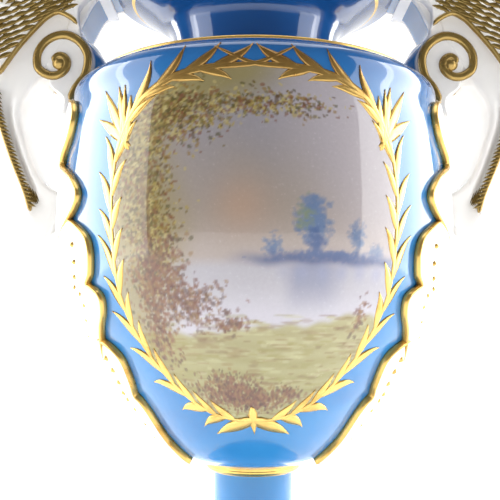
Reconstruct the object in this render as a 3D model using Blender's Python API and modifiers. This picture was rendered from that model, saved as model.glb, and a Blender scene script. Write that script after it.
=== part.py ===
"""Lidded porcelain vase with scroll handles: the vase body and its loose lid, standing on the foot ring.

Metres, +Z up. The front faces -Y, the handles lie along X and the origin is the middle of the foot's underside.
"""

import math

import bmesh
import bpy

# Body sizes
BODY_RADIUS = 0.075
BODY_HEIGHT = 0.1483
SHOULDER_INSET = 0.0105
WALL = 0.004

# Neck and rim sizes
NECK_RADIUS = 0.033
NECK_HEIGHT = 0.0437
RIM_RADIUS = 0.058
RIM_BAND = 0.005

# Foot sizes
FOOT_RADIUS = 0.046
FOOT_HEIGHT = 0.067
FOOT_STEP = 0.009
FOOT_RING = 0.005
STEM_RADIUS = 0.0156
COLLAR_RADIUS = 0.0183
COLLAR_HEIGHT = 0.003

# Lid sizes
LID_GAP = 0.0003
LID_OVERHANG = 0.001
LID_EDGE = 0.004
LID_DOME = 0.028
LID_WALL = 0.0035
FLANGE_WALL = 0.003
FLANGE_CLEARANCE = 0.0006
BEAD_RADIUS = 0.0085
FINIAL_HEIGHT = 0.038
FINIAL_RADIUS = 0.0115

# Handle sizes
RIBBON_HALF = 0.0125
RIBBON_ROUND = 0.0016
LEAF_PROUD = 0.0026
LEAF_ROUND = 0.0028
VOLUTE_RADIUS = 0.0105
VOLUTE_BULGE = 0.0040
VOLUTE_OUT = 0.0014
VOLUTE_UP = 0.0104
HANDLE_RISE = 0.0037
ROLL_INSET = 0.0005
RIDGE_RADIUS = 0.0013
EYE_RADIUS = 0.0030
HANDLE_UNIT = 0.001
HUSK_RELIEF = 0.0018
HUSK_ROOT = 0.0020

# Turning
TURN_STEPS = 32
LID_STEPS = 24

# Sizes that follow from the ones above
SHOULDER_RADIUS = BODY_RADIUS - SHOULDER_INSET
COLLAR_Z = FOOT_HEIGHT
BODY_Z = COLLAR_Z + COLLAR_HEIGHT
SHOULDER_Z = BODY_Z + BODY_HEIGHT
RIM_Z = SHOULDER_Z + NECK_HEIGHT
LID_Z = RIM_Z + LID_GAP

# The bowl's outline from the collar up to the shoulder's edge, as shares of the body's radius and height
BOWL_SHAPE = (
    (0.34, 0.0),
    (0.43, 0.036),
    (0.605, 0.138),
    (0.79, 0.270),
    (0.90, 0.369),
    (0.965, 0.4715),
    (1.0, 0.6355),
    (0.993, 0.82),
    (0.970, 0.91),
    (0.957, 0.967),
)

# The neck's outline above the shoulder, as shares of the way out to the rim and up to it
NECK_SHAPE = (
    (0.0, 0.231),
    (0.01, 0.451),
    (0.096, 0.570),
    (0.29, 0.648),
    (0.52, 0.739),
    (0.75, 0.826),
)

# Each husk's half widths in degrees against the share of the body's height, top to bottom
HUSKS = (
    ((0.925, 22), (0.895, 28), (0.84, 29), (0.785, 20), (0.76, 20), (0.72, 29), (0.675, 36), (0.645, 35), (0.61, 28),
     (0.575, 17)),
    ((0.61, 30), (0.565, 40), (0.50, 41.5), (0.452, 38), (0.43, 43.5), (0.385, 42.5), (0.33, 36), (0.26, 27.5)),
    ((0.33, 36), (0.28, 41.5), (0.23, 40.5), (0.19, 37.5), (0.17, 39), (0.10, 39), (0.045, 43)),
)
HUSK_COLUMNS = 6

# The ridge on the scroll's face, tail to eye, counted from the volute's centre in shares of its radius
SCROLL_LINE = (
    (-0.23, -1.92),
    (-0.51, -1.21),
    (-0.86, -0.69),
    (-0.97, -0.10),
    (-0.86, 0.31),
    (-0.59, 0.64),
    (-0.18, 0.85),
    (0.25, 0.82),
    (0.61, 0.62),
    (0.88, 0.27),
    (0.96, -0.10),
    (0.88, -0.45),
    (0.57, -0.68),
    (0.23, -0.71),
    (-0.06, -0.55),
    (-0.18, -0.30),
    (-0.11, -0.05),
    (0.10, 0.06),
)
SCROLL_EYE = (0.10, -0.22)


def smooth_path(points, pieces):
    """A rounded line through the points, each stretch a cubic cut into this many pieces."""
    ends = [points[0], *points, points[-1]]
    path = []
    for before, start, end, after in zip(ends, ends[1:], ends[2:], ends[3:]):
        for step in range(pieces):
            t = step / pieces
            path.append(
                tuple(
                    0.5
                    * (
                        2 * b
                        + (c - a) * t
                        + (2 * a - 5 * b + 4 * c - d) * t * t
                        + (3 * b - a - 3 * c + d) * t**3
                    )
                    for a, b, c, d in zip(before, start, end, after)
                )
            )
    path.append(points[-1])
    return path


def inset(path, distance):
    """The path moved sideways to its left by the distance, point by point."""
    moved = []
    for index, (x, z) in enumerate(path):
        x0, z0 = path[max(index - 1, 0)]
        x1, z1 = path[min(index + 1, len(path) - 1)]
        length = math.hypot(x1 - x0, z1 - z0)
        moved.append((x - (z1 - z0) / length * distance, z + (x1 - x0) / length * distance))
    return moved


def bowl_outline(pieces=2):
    """The outside of the bowl, bottom to top, ending at the shoulder's edge."""
    points = [(share * BODY_RADIUS, BODY_Z + height * BODY_HEIGHT) for share, height in BOWL_SHAPE]
    return smooth_path([*points, (SHOULDER_RADIUS, SHOULDER_Z)], pieces)


def neck_outline():
    """The outside from the shoulder's edge in to the neck and out to the rim."""
    reach = RIM_RADIUS - NECK_RADIUS
    rise = RIM_Z - SHOULDER_Z
    middle = (SHOULDER_RADIUS + NECK_RADIUS) / 2
    shoulder = [(middle, SHOULDER_Z + 0.07 * rise), (NECK_RADIUS + 0.1 * reach, SHOULDER_Z + 0.11 * rise)]
    flare = [(NECK_RADIUS + out * reach, SHOULDER_Z + up * rise) for out, up in NECK_SHAPE]
    return [*shoulder, *smooth_path([*flare, (RIM_RADIUS, RIM_Z - RIM_BAND)], 1)]


def bowl_radius(height):
    """The bowl's outside radius at a height."""
    outline = bowl_outline()
    for (x0, z0), (x1, z1) in zip(outline, outline[1:]):
        if z0 <= height <= z1:
            return x0 + (x1 - x0) * (height - z0) / (z1 - z0)
    return outline[0][0] if height < outline[0][1] else outline[-1][0]


def foot_outline():
    """The outside of the foot, top to bottom, from under the collar to the foot ring."""
    drop = FOOT_HEIGHT - FOOT_STEP
    reach = FOOT_RADIUS - STEM_RADIUS
    flare = [
        (STEM_RADIUS, FOOT_STEP + drop),
        (STEM_RADIUS, FOOT_STEP + 0.78 * drop),
        (STEM_RADIUS + 0.06 * reach, FOOT_STEP + 0.56 * drop),
        (STEM_RADIUS + 0.22 * reach, FOOT_STEP + 0.37 * drop),
        (STEM_RADIUS + 0.48 * reach, FOOT_STEP + 0.22 * drop),
        (STEM_RADIUS + 0.78 * reach, FOOT_STEP + 0.11 * drop),
        (STEM_RADIUS + 0.86 * reach, FOOT_STEP + 0.09 * drop),
    ]
    step = [
        (FOOT_RADIUS - 0.24 * FOOT_STEP, 1.35 * FOOT_STEP),
        (FOOT_RADIUS - 0.18 * FOOT_STEP, 1.13 * FOOT_STEP),
        (FOOT_RADIUS - 0.24 * FOOT_STEP, FOOT_STEP),
        (FOOT_RADIUS, 0.83 * FOOT_STEP),
        (FOOT_RADIUS, 0.13 * FOOT_STEP),
        (FOOT_RADIUS - 0.11 * FOOT_STEP, 0.0),
    ]
    return [*flare, *step]


def foot_hollow():
    """The recess under the foot, from the ring's inner edge up to the axis."""
    inner = FOOT_RADIUS - FOOT_RING
    top = FOOT_HEIGHT * 0.55
    throat = max(STEM_RADIUS - 1.5 * WALL, 0.3 * STEM_RADIUS)
    return [
        (inner, 0.0),
        (inner - 0.2 * FOOT_RING, FOOT_STEP * 0.7),
        (throat + 0.50 * (inner - throat), FOOT_STEP + 0.06 * top),
        (throat + 0.18 * (inner - throat), FOOT_STEP + 0.26 * top),
        (throat, top),
        (0.0, top + 0.5 * throat),
    ]


def collar_outline():
    """The rounded collar between bowl and foot, top to bottom."""
    points = []
    for step in range(5):
        turn = math.pi * (step / 4 - 0.5)
        out = (COLLAR_RADIUS - STEM_RADIUS) * math.cos(turn)
        points.append((STEM_RADIUS + out, COLLAR_Z + COLLAR_HEIGHT * (0.5 - 0.5 * math.sin(turn))))
    return points


def clear_scene():
    for old in list(bpy.data.objects):
        bpy.data.objects.remove(old, do_unlink=True)


def new_collection(name):
    made = bpy.data.collections.new(name)
    bpy.context.scene.collection.children.link(made)
    return made


def glaze(name, colour, roughness, metallic=0.0):
    """A plain Principled material."""
    made = bpy.data.materials.new(name)
    made.use_nodes = True
    shader = made.node_tree.nodes["Principled BSDF"]
    shader.inputs["Base Color"].default_value = (*colour, 1.0)
    shader.inputs["Roughness"].default_value = roughness
    shader.inputs["Metallic"].default_value = metallic
    return made


def turned(name, profile, home, material, steps=TURN_STEPS):
    """A closed turned shape from a profile that starts and ends on the axis and runs down its outer side."""
    mesh = bpy.data.meshes.new(name)
    points = [(x, 0.0, z) for x, z in profile]
    mesh.from_pydata(points, [(i, i + 1) for i in range(len(points) - 1)], [])
    made = bpy.data.objects.new(name, mesh)
    home.objects.link(made)
    made.data.materials.append(material)
    spin = made.modifiers.new("Turn", "SCREW")
    spin.steps = steps
    spin.render_steps = steps
    spin.use_merge_vertices = True
    spin.merge_threshold = 0.00001
    spin.use_smooth_shade = True
    return made


def as_helper(made):
    made.hide_render = True
    made.display_type = "WIRE"
    return made


def mesh_from(curve, home):
    """The curve object made a closed mesh in the helpers' collection."""
    bpy.context.view_layer.update()
    graph = bpy.context.evaluated_depsgraph_get()
    mesh = bpy.data.meshes.new_from_object(curve.evaluated_get(graph))
    shape = bmesh.new()
    shape.from_mesh(mesh)
    bmesh.ops.remove_doubles(shape, verts=shape.verts, dist=0.00001)
    bmesh.ops.transform(shape, matrix=curve.matrix_world, verts=shape.verts)
    bmesh.ops.recalc_face_normals(shape, faces=shape.faces)
    shape.to_mesh(mesh)
    shape.free()
    name = curve.name
    bpy.data.objects.remove(curve, do_unlink=True)
    made = bpy.data.objects.new(name, mesh)
    home.objects.link(made)
    return as_helper(made)


def flat_outline(name, points, half, rounding, home):
    """A plate in the XZ plane, its edges rounded outside the outline: each point is x, z and if a corner."""
    curve = bpy.data.curves.new(name, "CURVE")
    curve.dimensions = "2D"
    curve.fill_mode = "BOTH"
    curve.extrude = half - rounding
    curve.bevel_depth = rounding
    curve.bevel_resolution = 1
    spline = curve.splines.new("BEZIER")
    spline.bezier_points.add(len(points) - 1)
    spline.use_cyclic_u = True
    spline.resolution_u = 2
    for knot, (x, z, corner) in zip(spline.bezier_points, points):
        knot.co = (x, z, 0.0)
        knot.handle_left_type = "VECTOR" if corner else "AUTO"
        knot.handle_right_type = "VECTOR" if corner else "AUTO"
    made = bpy.data.objects.new(name, curve)
    made.rotation_euler = (math.pi / 2, 0.0, 0.0)
    home.objects.link(made)
    return mesh_from(made, home)


def mirrored(source, home):
    """The same shape on the other side of the YZ plane."""
    mesh = source.data.copy()
    shape = bmesh.new()
    shape.from_mesh(mesh)
    for corner in shape.verts:
        corner.co.x = -corner.co.x
    bmesh.ops.reverse_faces(shape, faces=shape.faces)
    shape.to_mesh(mesh)
    shape.free()
    made = bpy.data.objects.new(source.name + "_left", mesh)
    home.objects.link(made)
    return as_helper(made)


def by_body(out, up, corner=False):
    """A handle point counted from the bowl's widest radius and a line a little above the shoulder."""
    return (BODY_RADIUS + out * HANDLE_UNIT, SHOULDER_Z + HANDLE_RISE + up * HANDLE_UNIT, corner)


def by_rim(out, up, corner=False):
    """A handle point counted from the rim's edge."""
    return (RIM_RADIUS + out * HANDLE_UNIT, RIM_Z + up * HANDLE_UNIT, corner)


def by_arch(out, up, corner=False):
    """A handle point counted from the bowl's widest radius and the rim's height."""
    return (BODY_RADIUS + out * HANDLE_UNIT, RIM_Z + up * HANDLE_UNIT, corner)


def ribbon_points():
    """The scrolled ribbon: strap from the flank, arch to the rim, inner side and the tail on the shoulder."""
    return [
        by_body(-2.8, -67.0, True),
        by_body(6.5, -66.5, True),
        by_body(12.4, -64.3, True),
        by_body(16.7, -47.3),
        by_body(22.5, -34.0),
        by_body(28.5, -16.0),
        by_body(30.0, 0.0),
        by_body(30.0, 14.0),
        by_arch(23.0, -9.0),
        by_arch(13.0, -1.5),
        by_arch(1.0, -1.0),
        by_rim(8.0, -2.5),
        by_rim(-1.0, -3.5, True),
        by_rim(-2.0, -5.5, True),
        by_rim(1.5, -6.5),
        by_rim(6.0, -10.5),
        by_rim(9.5, -17.0),
        by_body(-5.5, 17.5),
        by_body(-8.2, 11.5),
        by_body(-9.9, 6.0),
        by_body(-9.2, 0.5),
        by_body(-6.3, -5.0),
        by_body(-4.0, -11.0, True),
        by_body(-3.6, -17.0, True),
        by_body(1.5, -16.0, True),
        by_body(0.8, -8.5, True),
        by_body(6.7, -4.9),
        by_body(11.0, -4.0),
        by_body(16.0, -8.5),
        by_body(17.5, -15.0),
        by_body(16.1, -23.5),
        by_body(13.1, -33.1),
        by_body(8.9, -43.0),
        by_body(4.0, -45.0),
        by_body(-2.8, -45.0, True),
    ]


def leaf_points():
    """The leaf that sheathes the top of the ribbon, its lower edge arching over the volute."""
    return [
        by_body(23.6, 1.8, True),
        by_body(17.5, 10.3),
        by_body(10.5, 18.5),
        by_body(2.6, 23.8),
        by_body(-3.0, 21.5),
        by_body(-5.2, 18.0, True),
        by_body(-5.5, 25.0),
        by_rim(7.0, -10.0),
        by_rim(0.5, -8.0, True),
        by_rim(1.0, -6.0, True),
        by_rim(8.0, -4.0),
        by_arch(1.0, 1.0),
        by_arch(10.0, 1.5, True),
        by_arch(17.0, -1.0),
        by_arch(21.0, -5.5, True),
        by_arch(27.0, -9.0),
        by_arch(29.5, -15.5, True),
        by_body(32.0, 17.0),
        by_body(31.5, 10.0, True),
        by_body(31.0, 4.0),
        by_body(27.5, -1.5),
    ]


def volute_centre():
    return (BODY_RADIUS + VOLUTE_OUT, SHOULDER_Z + VOLUTE_UP)


def volute_roll(home, material):
    """The barrel-shaped roll inside the scroll, turned about the handle's own thickness."""
    half = RIBBON_HALF - ROLL_INSET
    inner = 0.9 * VOLUTE_RADIUS
    profile = [(0.0, half)]
    for step in range(7):
        reach = 1 - step / 3
        profile.append((inner + VOLUTE_BULGE * (1 - reach * reach), half * reach))
    profile.append((0.0, -half))
    made = turned("volute_roll", profile, home, material, 22)
    x, z = volute_centre()
    made.rotation_euler = (math.pi / 2, 0.0, 0.0)
    made.location = (x, 0.0, z)
    bpy.context.view_layer.update()
    graph = bpy.context.evaluated_depsgraph_get()
    mesh = bpy.data.meshes.new_from_object(made.evaluated_get(graph))
    mesh.transform(made.matrix_world)
    solid = bpy.data.objects.new("volute", mesh)
    home.objects.link(solid)
    bpy.data.objects.remove(made, do_unlink=True)
    return as_helper(solid)


def scroll_point(out, up):
    x, z = volute_centre()
    return (x + out * VOLUTE_RADIUS, z + up * VOLUTE_RADIUS)


def spiral_ridge(name, side, home):
    curve = bpy.data.curves.new(name, "CURVE")
    curve.dimensions = "3D"
    curve.bevel_depth = RIDGE_RADIUS
    curve.bevel_resolution = 0
    curve.use_fill_caps = True
    spline = curve.splines.new("POLY")
    points = smooth_path([scroll_point(out, up) for out, up in SCROLL_LINE], 2)
    spline.points.add(len(points) - 1)
    for knot, (x, z) in zip(spline.points, points):
        knot.co = (x, side * RIBBON_HALF, z, 1.0)
    made = bpy.data.objects.new(name, curve)
    home.objects.link(made)
    return mesh_from(made, home)


def eye_boss(name, side, home, material):
    """The round eye at the middle of the volute."""
    x, z = scroll_point(*SCROLL_EYE)
    shape = bmesh.new()
    bmesh.ops.create_uvsphere(shape, u_segments=8, v_segments=5, radius=EYE_RADIUS)
    bmesh.ops.translate(shape, verts=shape.verts, vec=(x, side * (RIBBON_HALF - 0.27 * EYE_RADIUS), z))
    mesh = bpy.data.meshes.new(name)
    shape.to_mesh(mesh)
    shape.free()
    made = bpy.data.objects.new(name, mesh)
    made.data.materials.append(material)
    home.objects.link(made)
    return as_helper(made)


def husk(name, rows, home, material):
    """One leaf husk on the flank: an open sheet over the bowl, thickened inwards into its wall."""
    shape = bmesh.new()
    grid = []
    last = len(rows) - 1
    for row, (share, half_width) in enumerate(rows):
        height = BODY_Z + share * BODY_HEIGHT
        lift = HUSK_RELIEF * (1.0 + 0.7 * (row / last) ** 2)
        line = []
        for column in range(HUSK_COLUMNS + 1):
            across = 2 * column / HUSK_COLUMNS - 1
            turn = math.radians(across * half_width)
            crown = 0.45 * HUSK_RELIEF * math.cos(across * math.pi / 2)
            reach = bowl_radius(height) + lift + crown
            line.append(shape.verts.new((reach * math.cos(turn), reach * math.sin(turn), height)))
        grid.append(line)
    for upper, lower in zip(grid, grid[1:]):
        for a, b, c, d in zip(upper, upper[1:], lower[1:], lower):
            shape.faces.new((a, b, c, d))
    bmesh.ops.recalc_face_normals(shape, faces=shape.faces)
    shape.normal_update()
    if sum(face.normal.x for face in shape.faces) < 0:
        bmesh.ops.reverse_faces(shape, faces=shape.faces)
    mesh = bpy.data.meshes.new(name)
    shape.to_mesh(mesh)
    shape.free()
    made = bpy.data.objects.new(name, mesh)
    made.data.materials.append(material)
    home.objects.link(made)
    shell = made.modifiers.new("Thickness", "SOLIDIFY")
    shell.thickness = HUSK_RELIEF * 1.7 + HUSK_ROOT
    shell.offset = -1.0
    bpy.context.view_layer.update()
    graph = bpy.context.evaluated_depsgraph_get()
    solid = bpy.data.objects.new(name, bpy.data.meshes.new_from_object(made.evaluated_get(graph)))
    bpy.data.objects.remove(made, do_unlink=True)
    home.objects.link(solid)
    return as_helper(solid)


def vase_profile():
    """The whole turned vase: up the inside, over the rim, down the outside and into the foot."""
    outside = [*bowl_outline(), *neck_outline()]
    throat = RIM_Z - RIM_BAND - 0.5 * WALL
    hollow = inset([*bowl_outline(1), *neck_outline()], WALL)
    inside = [point for point in hollow[1:] if point[1] < throat]
    floor_z = inside[0][1]
    lip = [
        (RIM_RADIUS - WALL, RIM_Z - RIM_BAND),
        (RIM_RADIUS - WALL, RIM_Z - 0.15 * WALL),
        (RIM_RADIUS - 0.8 * WALL, RIM_Z),
        (RIM_RADIUS - 0.2 * WALL, RIM_Z),
        (RIM_RADIUS, RIM_Z - 0.2 * WALL),
    ]
    return [
        (0.0, floor_z - 0.1 * WALL),
        *inside,
        *lip,
        *reversed(outside),
        *collar_outline(),
        *foot_outline()[1:],
        *foot_hollow(),
    ]


def lid_profile():
    """The lid: finial and dome down the outside, round the edge and back under it, with a locating flange."""
    edge = RIM_RADIUS + LID_OVERHANG
    crown_z = LID_Z + LID_EDGE + LID_DOME
    finial = [
        (0.0, crown_z + FINIAL_HEIGHT),
        (0.22 * FINIAL_RADIUS, crown_z + 0.985 * FINIAL_HEIGHT),
        (0.52 * FINIAL_RADIUS, crown_z + 0.88 * FINIAL_HEIGHT),
        (0.85 * FINIAL_RADIUS, crown_z + 0.70 * FINIAL_HEIGHT),
        (FINIAL_RADIUS, crown_z + 0.50 * FINIAL_HEIGHT),
        (0.86 * FINIAL_RADIUS, crown_z + 0.32 * FINIAL_HEIGHT),
        (0.48 * FINIAL_RADIUS, crown_z + 0.22 * FINIAL_HEIGHT),
        (0.48 * FINIAL_RADIUS, crown_z + 0.15 * FINIAL_HEIGHT),
        (BEAD_RADIUS, crown_z + 0.10 * FINIAL_HEIGHT),
        (BEAD_RADIUS, crown_z + 0.04 * FINIAL_HEIGHT),
    ]
    span = edge - BEAD_RADIUS
    dome = [
        (0.88 * BEAD_RADIUS, crown_z),
        (BEAD_RADIUS + 0.16 * span, crown_z - 0.10 * LID_DOME),
        (BEAD_RADIUS + 0.36 * span, crown_z - 0.25 * LID_DOME),
        (BEAD_RADIUS + 0.58 * span, crown_z - 0.45 * LID_DOME),
        (BEAD_RADIUS + 0.78 * span, crown_z - 0.72 * LID_DOME),
        (BEAD_RADIUS + 0.90 * span, crown_z - 0.92 * LID_DOME),
    ]
    rounded = [
        (edge - 0.3 * LID_EDGE, LID_Z + LID_EDGE),
        (edge, LID_Z + 0.7 * LID_EDGE),
        (edge, LID_Z + 0.3 * LID_EDGE),
        (edge - 0.3 * LID_EDGE, LID_Z),
    ]
    flange = RIM_RADIUS - WALL - FLANGE_CLEARANCE
    flange_z = RIM_Z - RIM_BAND + FLANGE_CLEARANCE
    under = [
        (flange, LID_Z),
        (flange, flange_z),
        (flange - FLANGE_WALL, flange_z),
        (flange - FLANGE_WALL, LID_Z + 0.35 * LID_EDGE),
    ]
    ceiling = [(x, z - LID_WALL) for x, z in reversed(dome[1:-1])]
    ceiling = [(x - 0.35 * LID_WALL, z - 0.1 * LID_WALL) for x, z in ceiling]
    return [*finial, *dome, *rounded, *under, *ceiling, (0.0, crown_z - 1.1 * LID_WALL)]


def join(target, helper, solver):
    union = target.modifiers.new("Join " + helper.name, "BOOLEAN")
    union.operation = "UNION"
    union.solver = solver
    union.object = helper


def build():
    clear_scene()
    parts = new_collection("lidded_vase")
    helpers = new_collection("vase_shapes")
    porcelain = glaze("vase_glaze", (0.10, 0.33, 0.72), 0.08)
    cover = glaze("lid_glaze", (0.10, 0.33, 0.72), 0.08)

    vase = turned("vase", vase_profile(), parts, porcelain)
    masses = [
        flat_outline("ribbon", ribbon_points(), RIBBON_HALF, RIBBON_ROUND, helpers),
        volute_roll(helpers, porcelain),
        flat_outline("leaf", leaf_points(), RIBBON_HALF + LEAF_PROUD, LEAF_ROUND, helpers),
    ]
    reliefs = []
    for side, where in ((-1, "front"), (1, "back")):
        reliefs.append(spiral_ridge("spiral_" + where, side, helpers))
        reliefs.append(eye_boss("eye_" + where, side, helpers, porcelain))
    for number, rows in enumerate(HUSKS, 1):
        reliefs.append(husk(f"husk_{number}", rows, helpers, porcelain))
    for shapes, solver in ((masses, "EXACT"), (reliefs, "MANIFOLD")):
        for shape in shapes:
            join(vase, shape, solver)
            join(vase, mirrored(shape, helpers), solver)

    turned("lid", lid_profile(), parts, cover, LID_STEPS)


build()
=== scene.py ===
"""A lidded porcelain vase with scroll handles, gilding, husks and a painted medallion, and its stage."""

import math

import bpy
import numpy as np
from mathutils import Matrix, Vector


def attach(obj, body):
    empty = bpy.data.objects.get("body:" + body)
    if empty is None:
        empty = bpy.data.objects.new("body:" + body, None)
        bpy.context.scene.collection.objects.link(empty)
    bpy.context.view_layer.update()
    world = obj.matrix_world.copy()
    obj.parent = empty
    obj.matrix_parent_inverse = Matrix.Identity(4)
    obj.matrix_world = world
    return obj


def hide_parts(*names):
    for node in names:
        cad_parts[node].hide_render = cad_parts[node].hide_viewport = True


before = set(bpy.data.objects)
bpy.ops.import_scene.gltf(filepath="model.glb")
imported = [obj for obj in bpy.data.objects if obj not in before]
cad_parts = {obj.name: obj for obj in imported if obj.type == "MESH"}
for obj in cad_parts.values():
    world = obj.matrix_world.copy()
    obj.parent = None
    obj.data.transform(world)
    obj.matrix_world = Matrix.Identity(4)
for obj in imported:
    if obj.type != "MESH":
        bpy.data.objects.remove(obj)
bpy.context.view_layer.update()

bl_info = {
    "name": "Lidded Porcelain Vase",
    "version": (1, 0, 0),
    "blender": (4, 5, 0),
    "location": "View3D > Sidebar > Vase",
    "description": "Builds a lidded porcelain vase with scroll handles, gilding and a painted medallion",
    "category": "Object",
}

MM = 0.001

# The handle's height against the shoulder, as in the solids
HANDLE_RISE = 0.0037

# The medallion's oval: half its width and height, its middle above the collar, and how square each half is
OVAL_WIDE = 0.0515
OVAL_TALL = 0.0575
OVAL_MIDDLE = 0.0785
OVAL_TOP = 3.2
OVAL_LOW = 2.6

# The gilt roll round the collar: the ring's radius, half its width and half its height
COLLAR_ROLL = (0.0163, 0.0021, 0.0023)

# Half the thickness of the shoulder's gilt line, and the soft edge of a gilt band in the glaze
SHOULDER_LINE = 0.00075
GILT_EDGE = 0.00012

# The radii of the scrolls' eyes and of the husks' dots
EYE_RADIUS = 0.0034
DOT_RADIUS = 0.0012

# The camera's turns in degrees
CAMERA_PITCH = 95.2
CAMERA_YAW = 0.286
CAMERA_ROLL = 0.28

# The bowl's outline from the collar up to the shoulder's edge, as shares of the body's radius and height
BOWL_SHAPE = (
    (0.262, 0.0),
    (0.43, 0.036),
    (0.605, 0.138),
    (0.79, 0.270),
    (0.90, 0.369),
    (0.965, 0.4715),
    (1.0, 0.6355),
    (0.993, 0.82),
    (0.970, 0.91),
    (0.957, 0.967),
)

# The neck's outline above the shoulder, as shares of the way out to the rim and up to it
NECK_SHAPE = (
    (0.0, 0.231),
    (0.01, 0.451),
    (0.096, 0.570),
    (0.29, 0.648),
    (0.52, 0.739),
    (0.75, 0.826),
)

# Each husk's half widths in degrees against the share of the body's height, top to bottom
HUSKS = (
    ((0.925, 20), (0.905, 26), (0.87, 29.5), (0.835, 29), (0.805, 26), (0.785, 21), (0.768, 18.5),
     (0.752, 20), (0.737, 25), (0.715, 30.5), (0.69, 34.5), (0.665, 36.5), (0.64, 35), (0.615, 30),
     (0.585, 20), (0.56, 10)),
    ((0.61, 30), (0.585, 36.5), (0.56, 40.5), (0.53, 41.8), (0.50, 41.5), (0.475, 40.5), (0.455, 38.4),
     (0.443, 41), (0.43, 43.5), (0.41, 44), (0.385, 42.5), (0.36, 39.5), (0.33, 36), (0.295, 31.5),
     (0.26, 27), (0.235, 19)),
    ((0.33, 34), (0.305, 40), (0.28, 42), (0.25, 41.3), (0.22, 39.5), (0.195, 37), (0.18, 38.5),
     (0.15, 39.5), (0.11, 39), (0.08, 39.5), (0.05, 42), (0.03, 44)),
)

# The ridge on the scroll's face, tail to eye, counted from the volute's centre in shares of its radius
SCROLL_LINE = (
    (-0.05, -2.55),
    (-0.23, -1.92),
    (-0.51, -1.21),
    (-0.86, -0.69),
    (-0.97, -0.10),
    (-0.86, 0.31),
    (-0.59, 0.64),
    (-0.18, 0.85),
    (0.25, 0.82),
    (0.61, 0.62),
    (0.88, 0.27),
    (0.96, -0.10),
    (0.88, -0.45),
    (0.57, -0.68),
    (0.23, -0.71),
    (-0.06, -0.55),
    (-0.18, -0.30),
    (-0.11, -0.05),
    (0.10, 0.06),
    (0.27, -0.05),
    (0.29, -0.24),
)
SCROLL_EYE = (0.10, -0.22)


def linear(red, green, blue):
    """A colour given as 0 to 255 on a screen, as the renderer's own linear numbers."""
    share = np.array([red, green, blue], float) / 255
    bright = ((share + 0.055) / 1.055) ** 2.4
    return tuple(float(v) for v in np.where(share <= 0.04045, share / 12.92, bright))


class VaseSizes(bpy.types.PropertyGroup):
    body_radius: bpy.props.FloatProperty(
        name="Body Radius", description="Widest radius of the bowl", default=0.075, unit="LENGTH")
    body_height: bpy.props.FloatProperty(
        name="Body Height", description="Height of the bowl from the collar to the shoulder", default=0.1483,
        unit="LENGTH")
    shoulder_inset: bpy.props.FloatProperty(
        name="Shoulder Inset", description="How far the shoulder's edge stands inside the widest radius",
        default=0.0105, unit="LENGTH")
    wall: bpy.props.FloatProperty(
        name="Wall", description="Thickness of the porcelain", default=0.004, unit="LENGTH")
    neck_radius: bpy.props.FloatProperty(
        name="Neck Radius", description="Narrowest radius of the neck", default=0.033, unit="LENGTH")
    neck_height: bpy.props.FloatProperty(
        name="Neck Height", description="Height from the shoulder to the rim", default=0.0437, unit="LENGTH")
    rim_radius: bpy.props.FloatProperty(
        name="Rim Radius", description="Outside radius of the rim", default=0.058, unit="LENGTH")
    rim_band: bpy.props.FloatProperty(
        name="Rim Band", description="Height of the upright band under the rim", default=0.005, unit="LENGTH")
    foot_radius: bpy.props.FloatProperty(
        name="Foot Radius", description="Radius of the foot ring", default=0.046, unit="LENGTH")
    foot_height: bpy.props.FloatProperty(
        name="Foot Height", description="Height of the foot up to the collar", default=0.067, unit="LENGTH")
    foot_step: bpy.props.FloatProperty(
        name="Foot Step", description="Height of the foot's lower band", default=0.009, unit="LENGTH")
    foot_ring: bpy.props.FloatProperty(
        name="Foot Ring", description="Width of the ring that the vase stands on", default=0.005,
        unit="LENGTH")
    stem_radius: bpy.props.FloatProperty(
        name="Stem Radius", description="Radius of the stem under the collar", default=0.0156, unit="LENGTH")
    collar_radius: bpy.props.FloatProperty(
        name="Collar Radius", description="Radius of the gilt collar", default=0.0183, unit="LENGTH")
    collar_height: bpy.props.FloatProperty(
        name="Collar Height", description="Height of the gilt collar", default=0.003, unit="LENGTH")


class LidSizes(bpy.types.PropertyGroup):
    gap: bpy.props.FloatProperty(
        name="Gap", description="Space between rim and lid", default=0.0003, unit="LENGTH")
    overhang: bpy.props.FloatProperty(
        name="Overhang", description="How far the lid's edge stands out past the rim", default=0.001,
        unit="LENGTH")
    edge: bpy.props.FloatProperty(
        name="Edge", description="Height of the lid's rounded edge", default=0.004, unit="LENGTH")
    dome: bpy.props.FloatProperty(
        name="Dome", description="Rise of the lid's dome", default=0.028, unit="LENGTH")
    wall: bpy.props.FloatProperty(
        name="Wall", description="Thickness of the lid", default=0.0035, unit="LENGTH")
    bead_radius: bpy.props.FloatProperty(
        name="Bead Radius", description="Radius of the bead under the finial", default=0.0085, unit="LENGTH")
    finial_height: bpy.props.FloatProperty(
        name="Finial Height", description="Height of the finial", default=0.038, unit="LENGTH")
    finial_radius: bpy.props.FloatProperty(
        name="Finial Radius", description="Widest radius of the finial", default=0.0115, unit="LENGTH")


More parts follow.
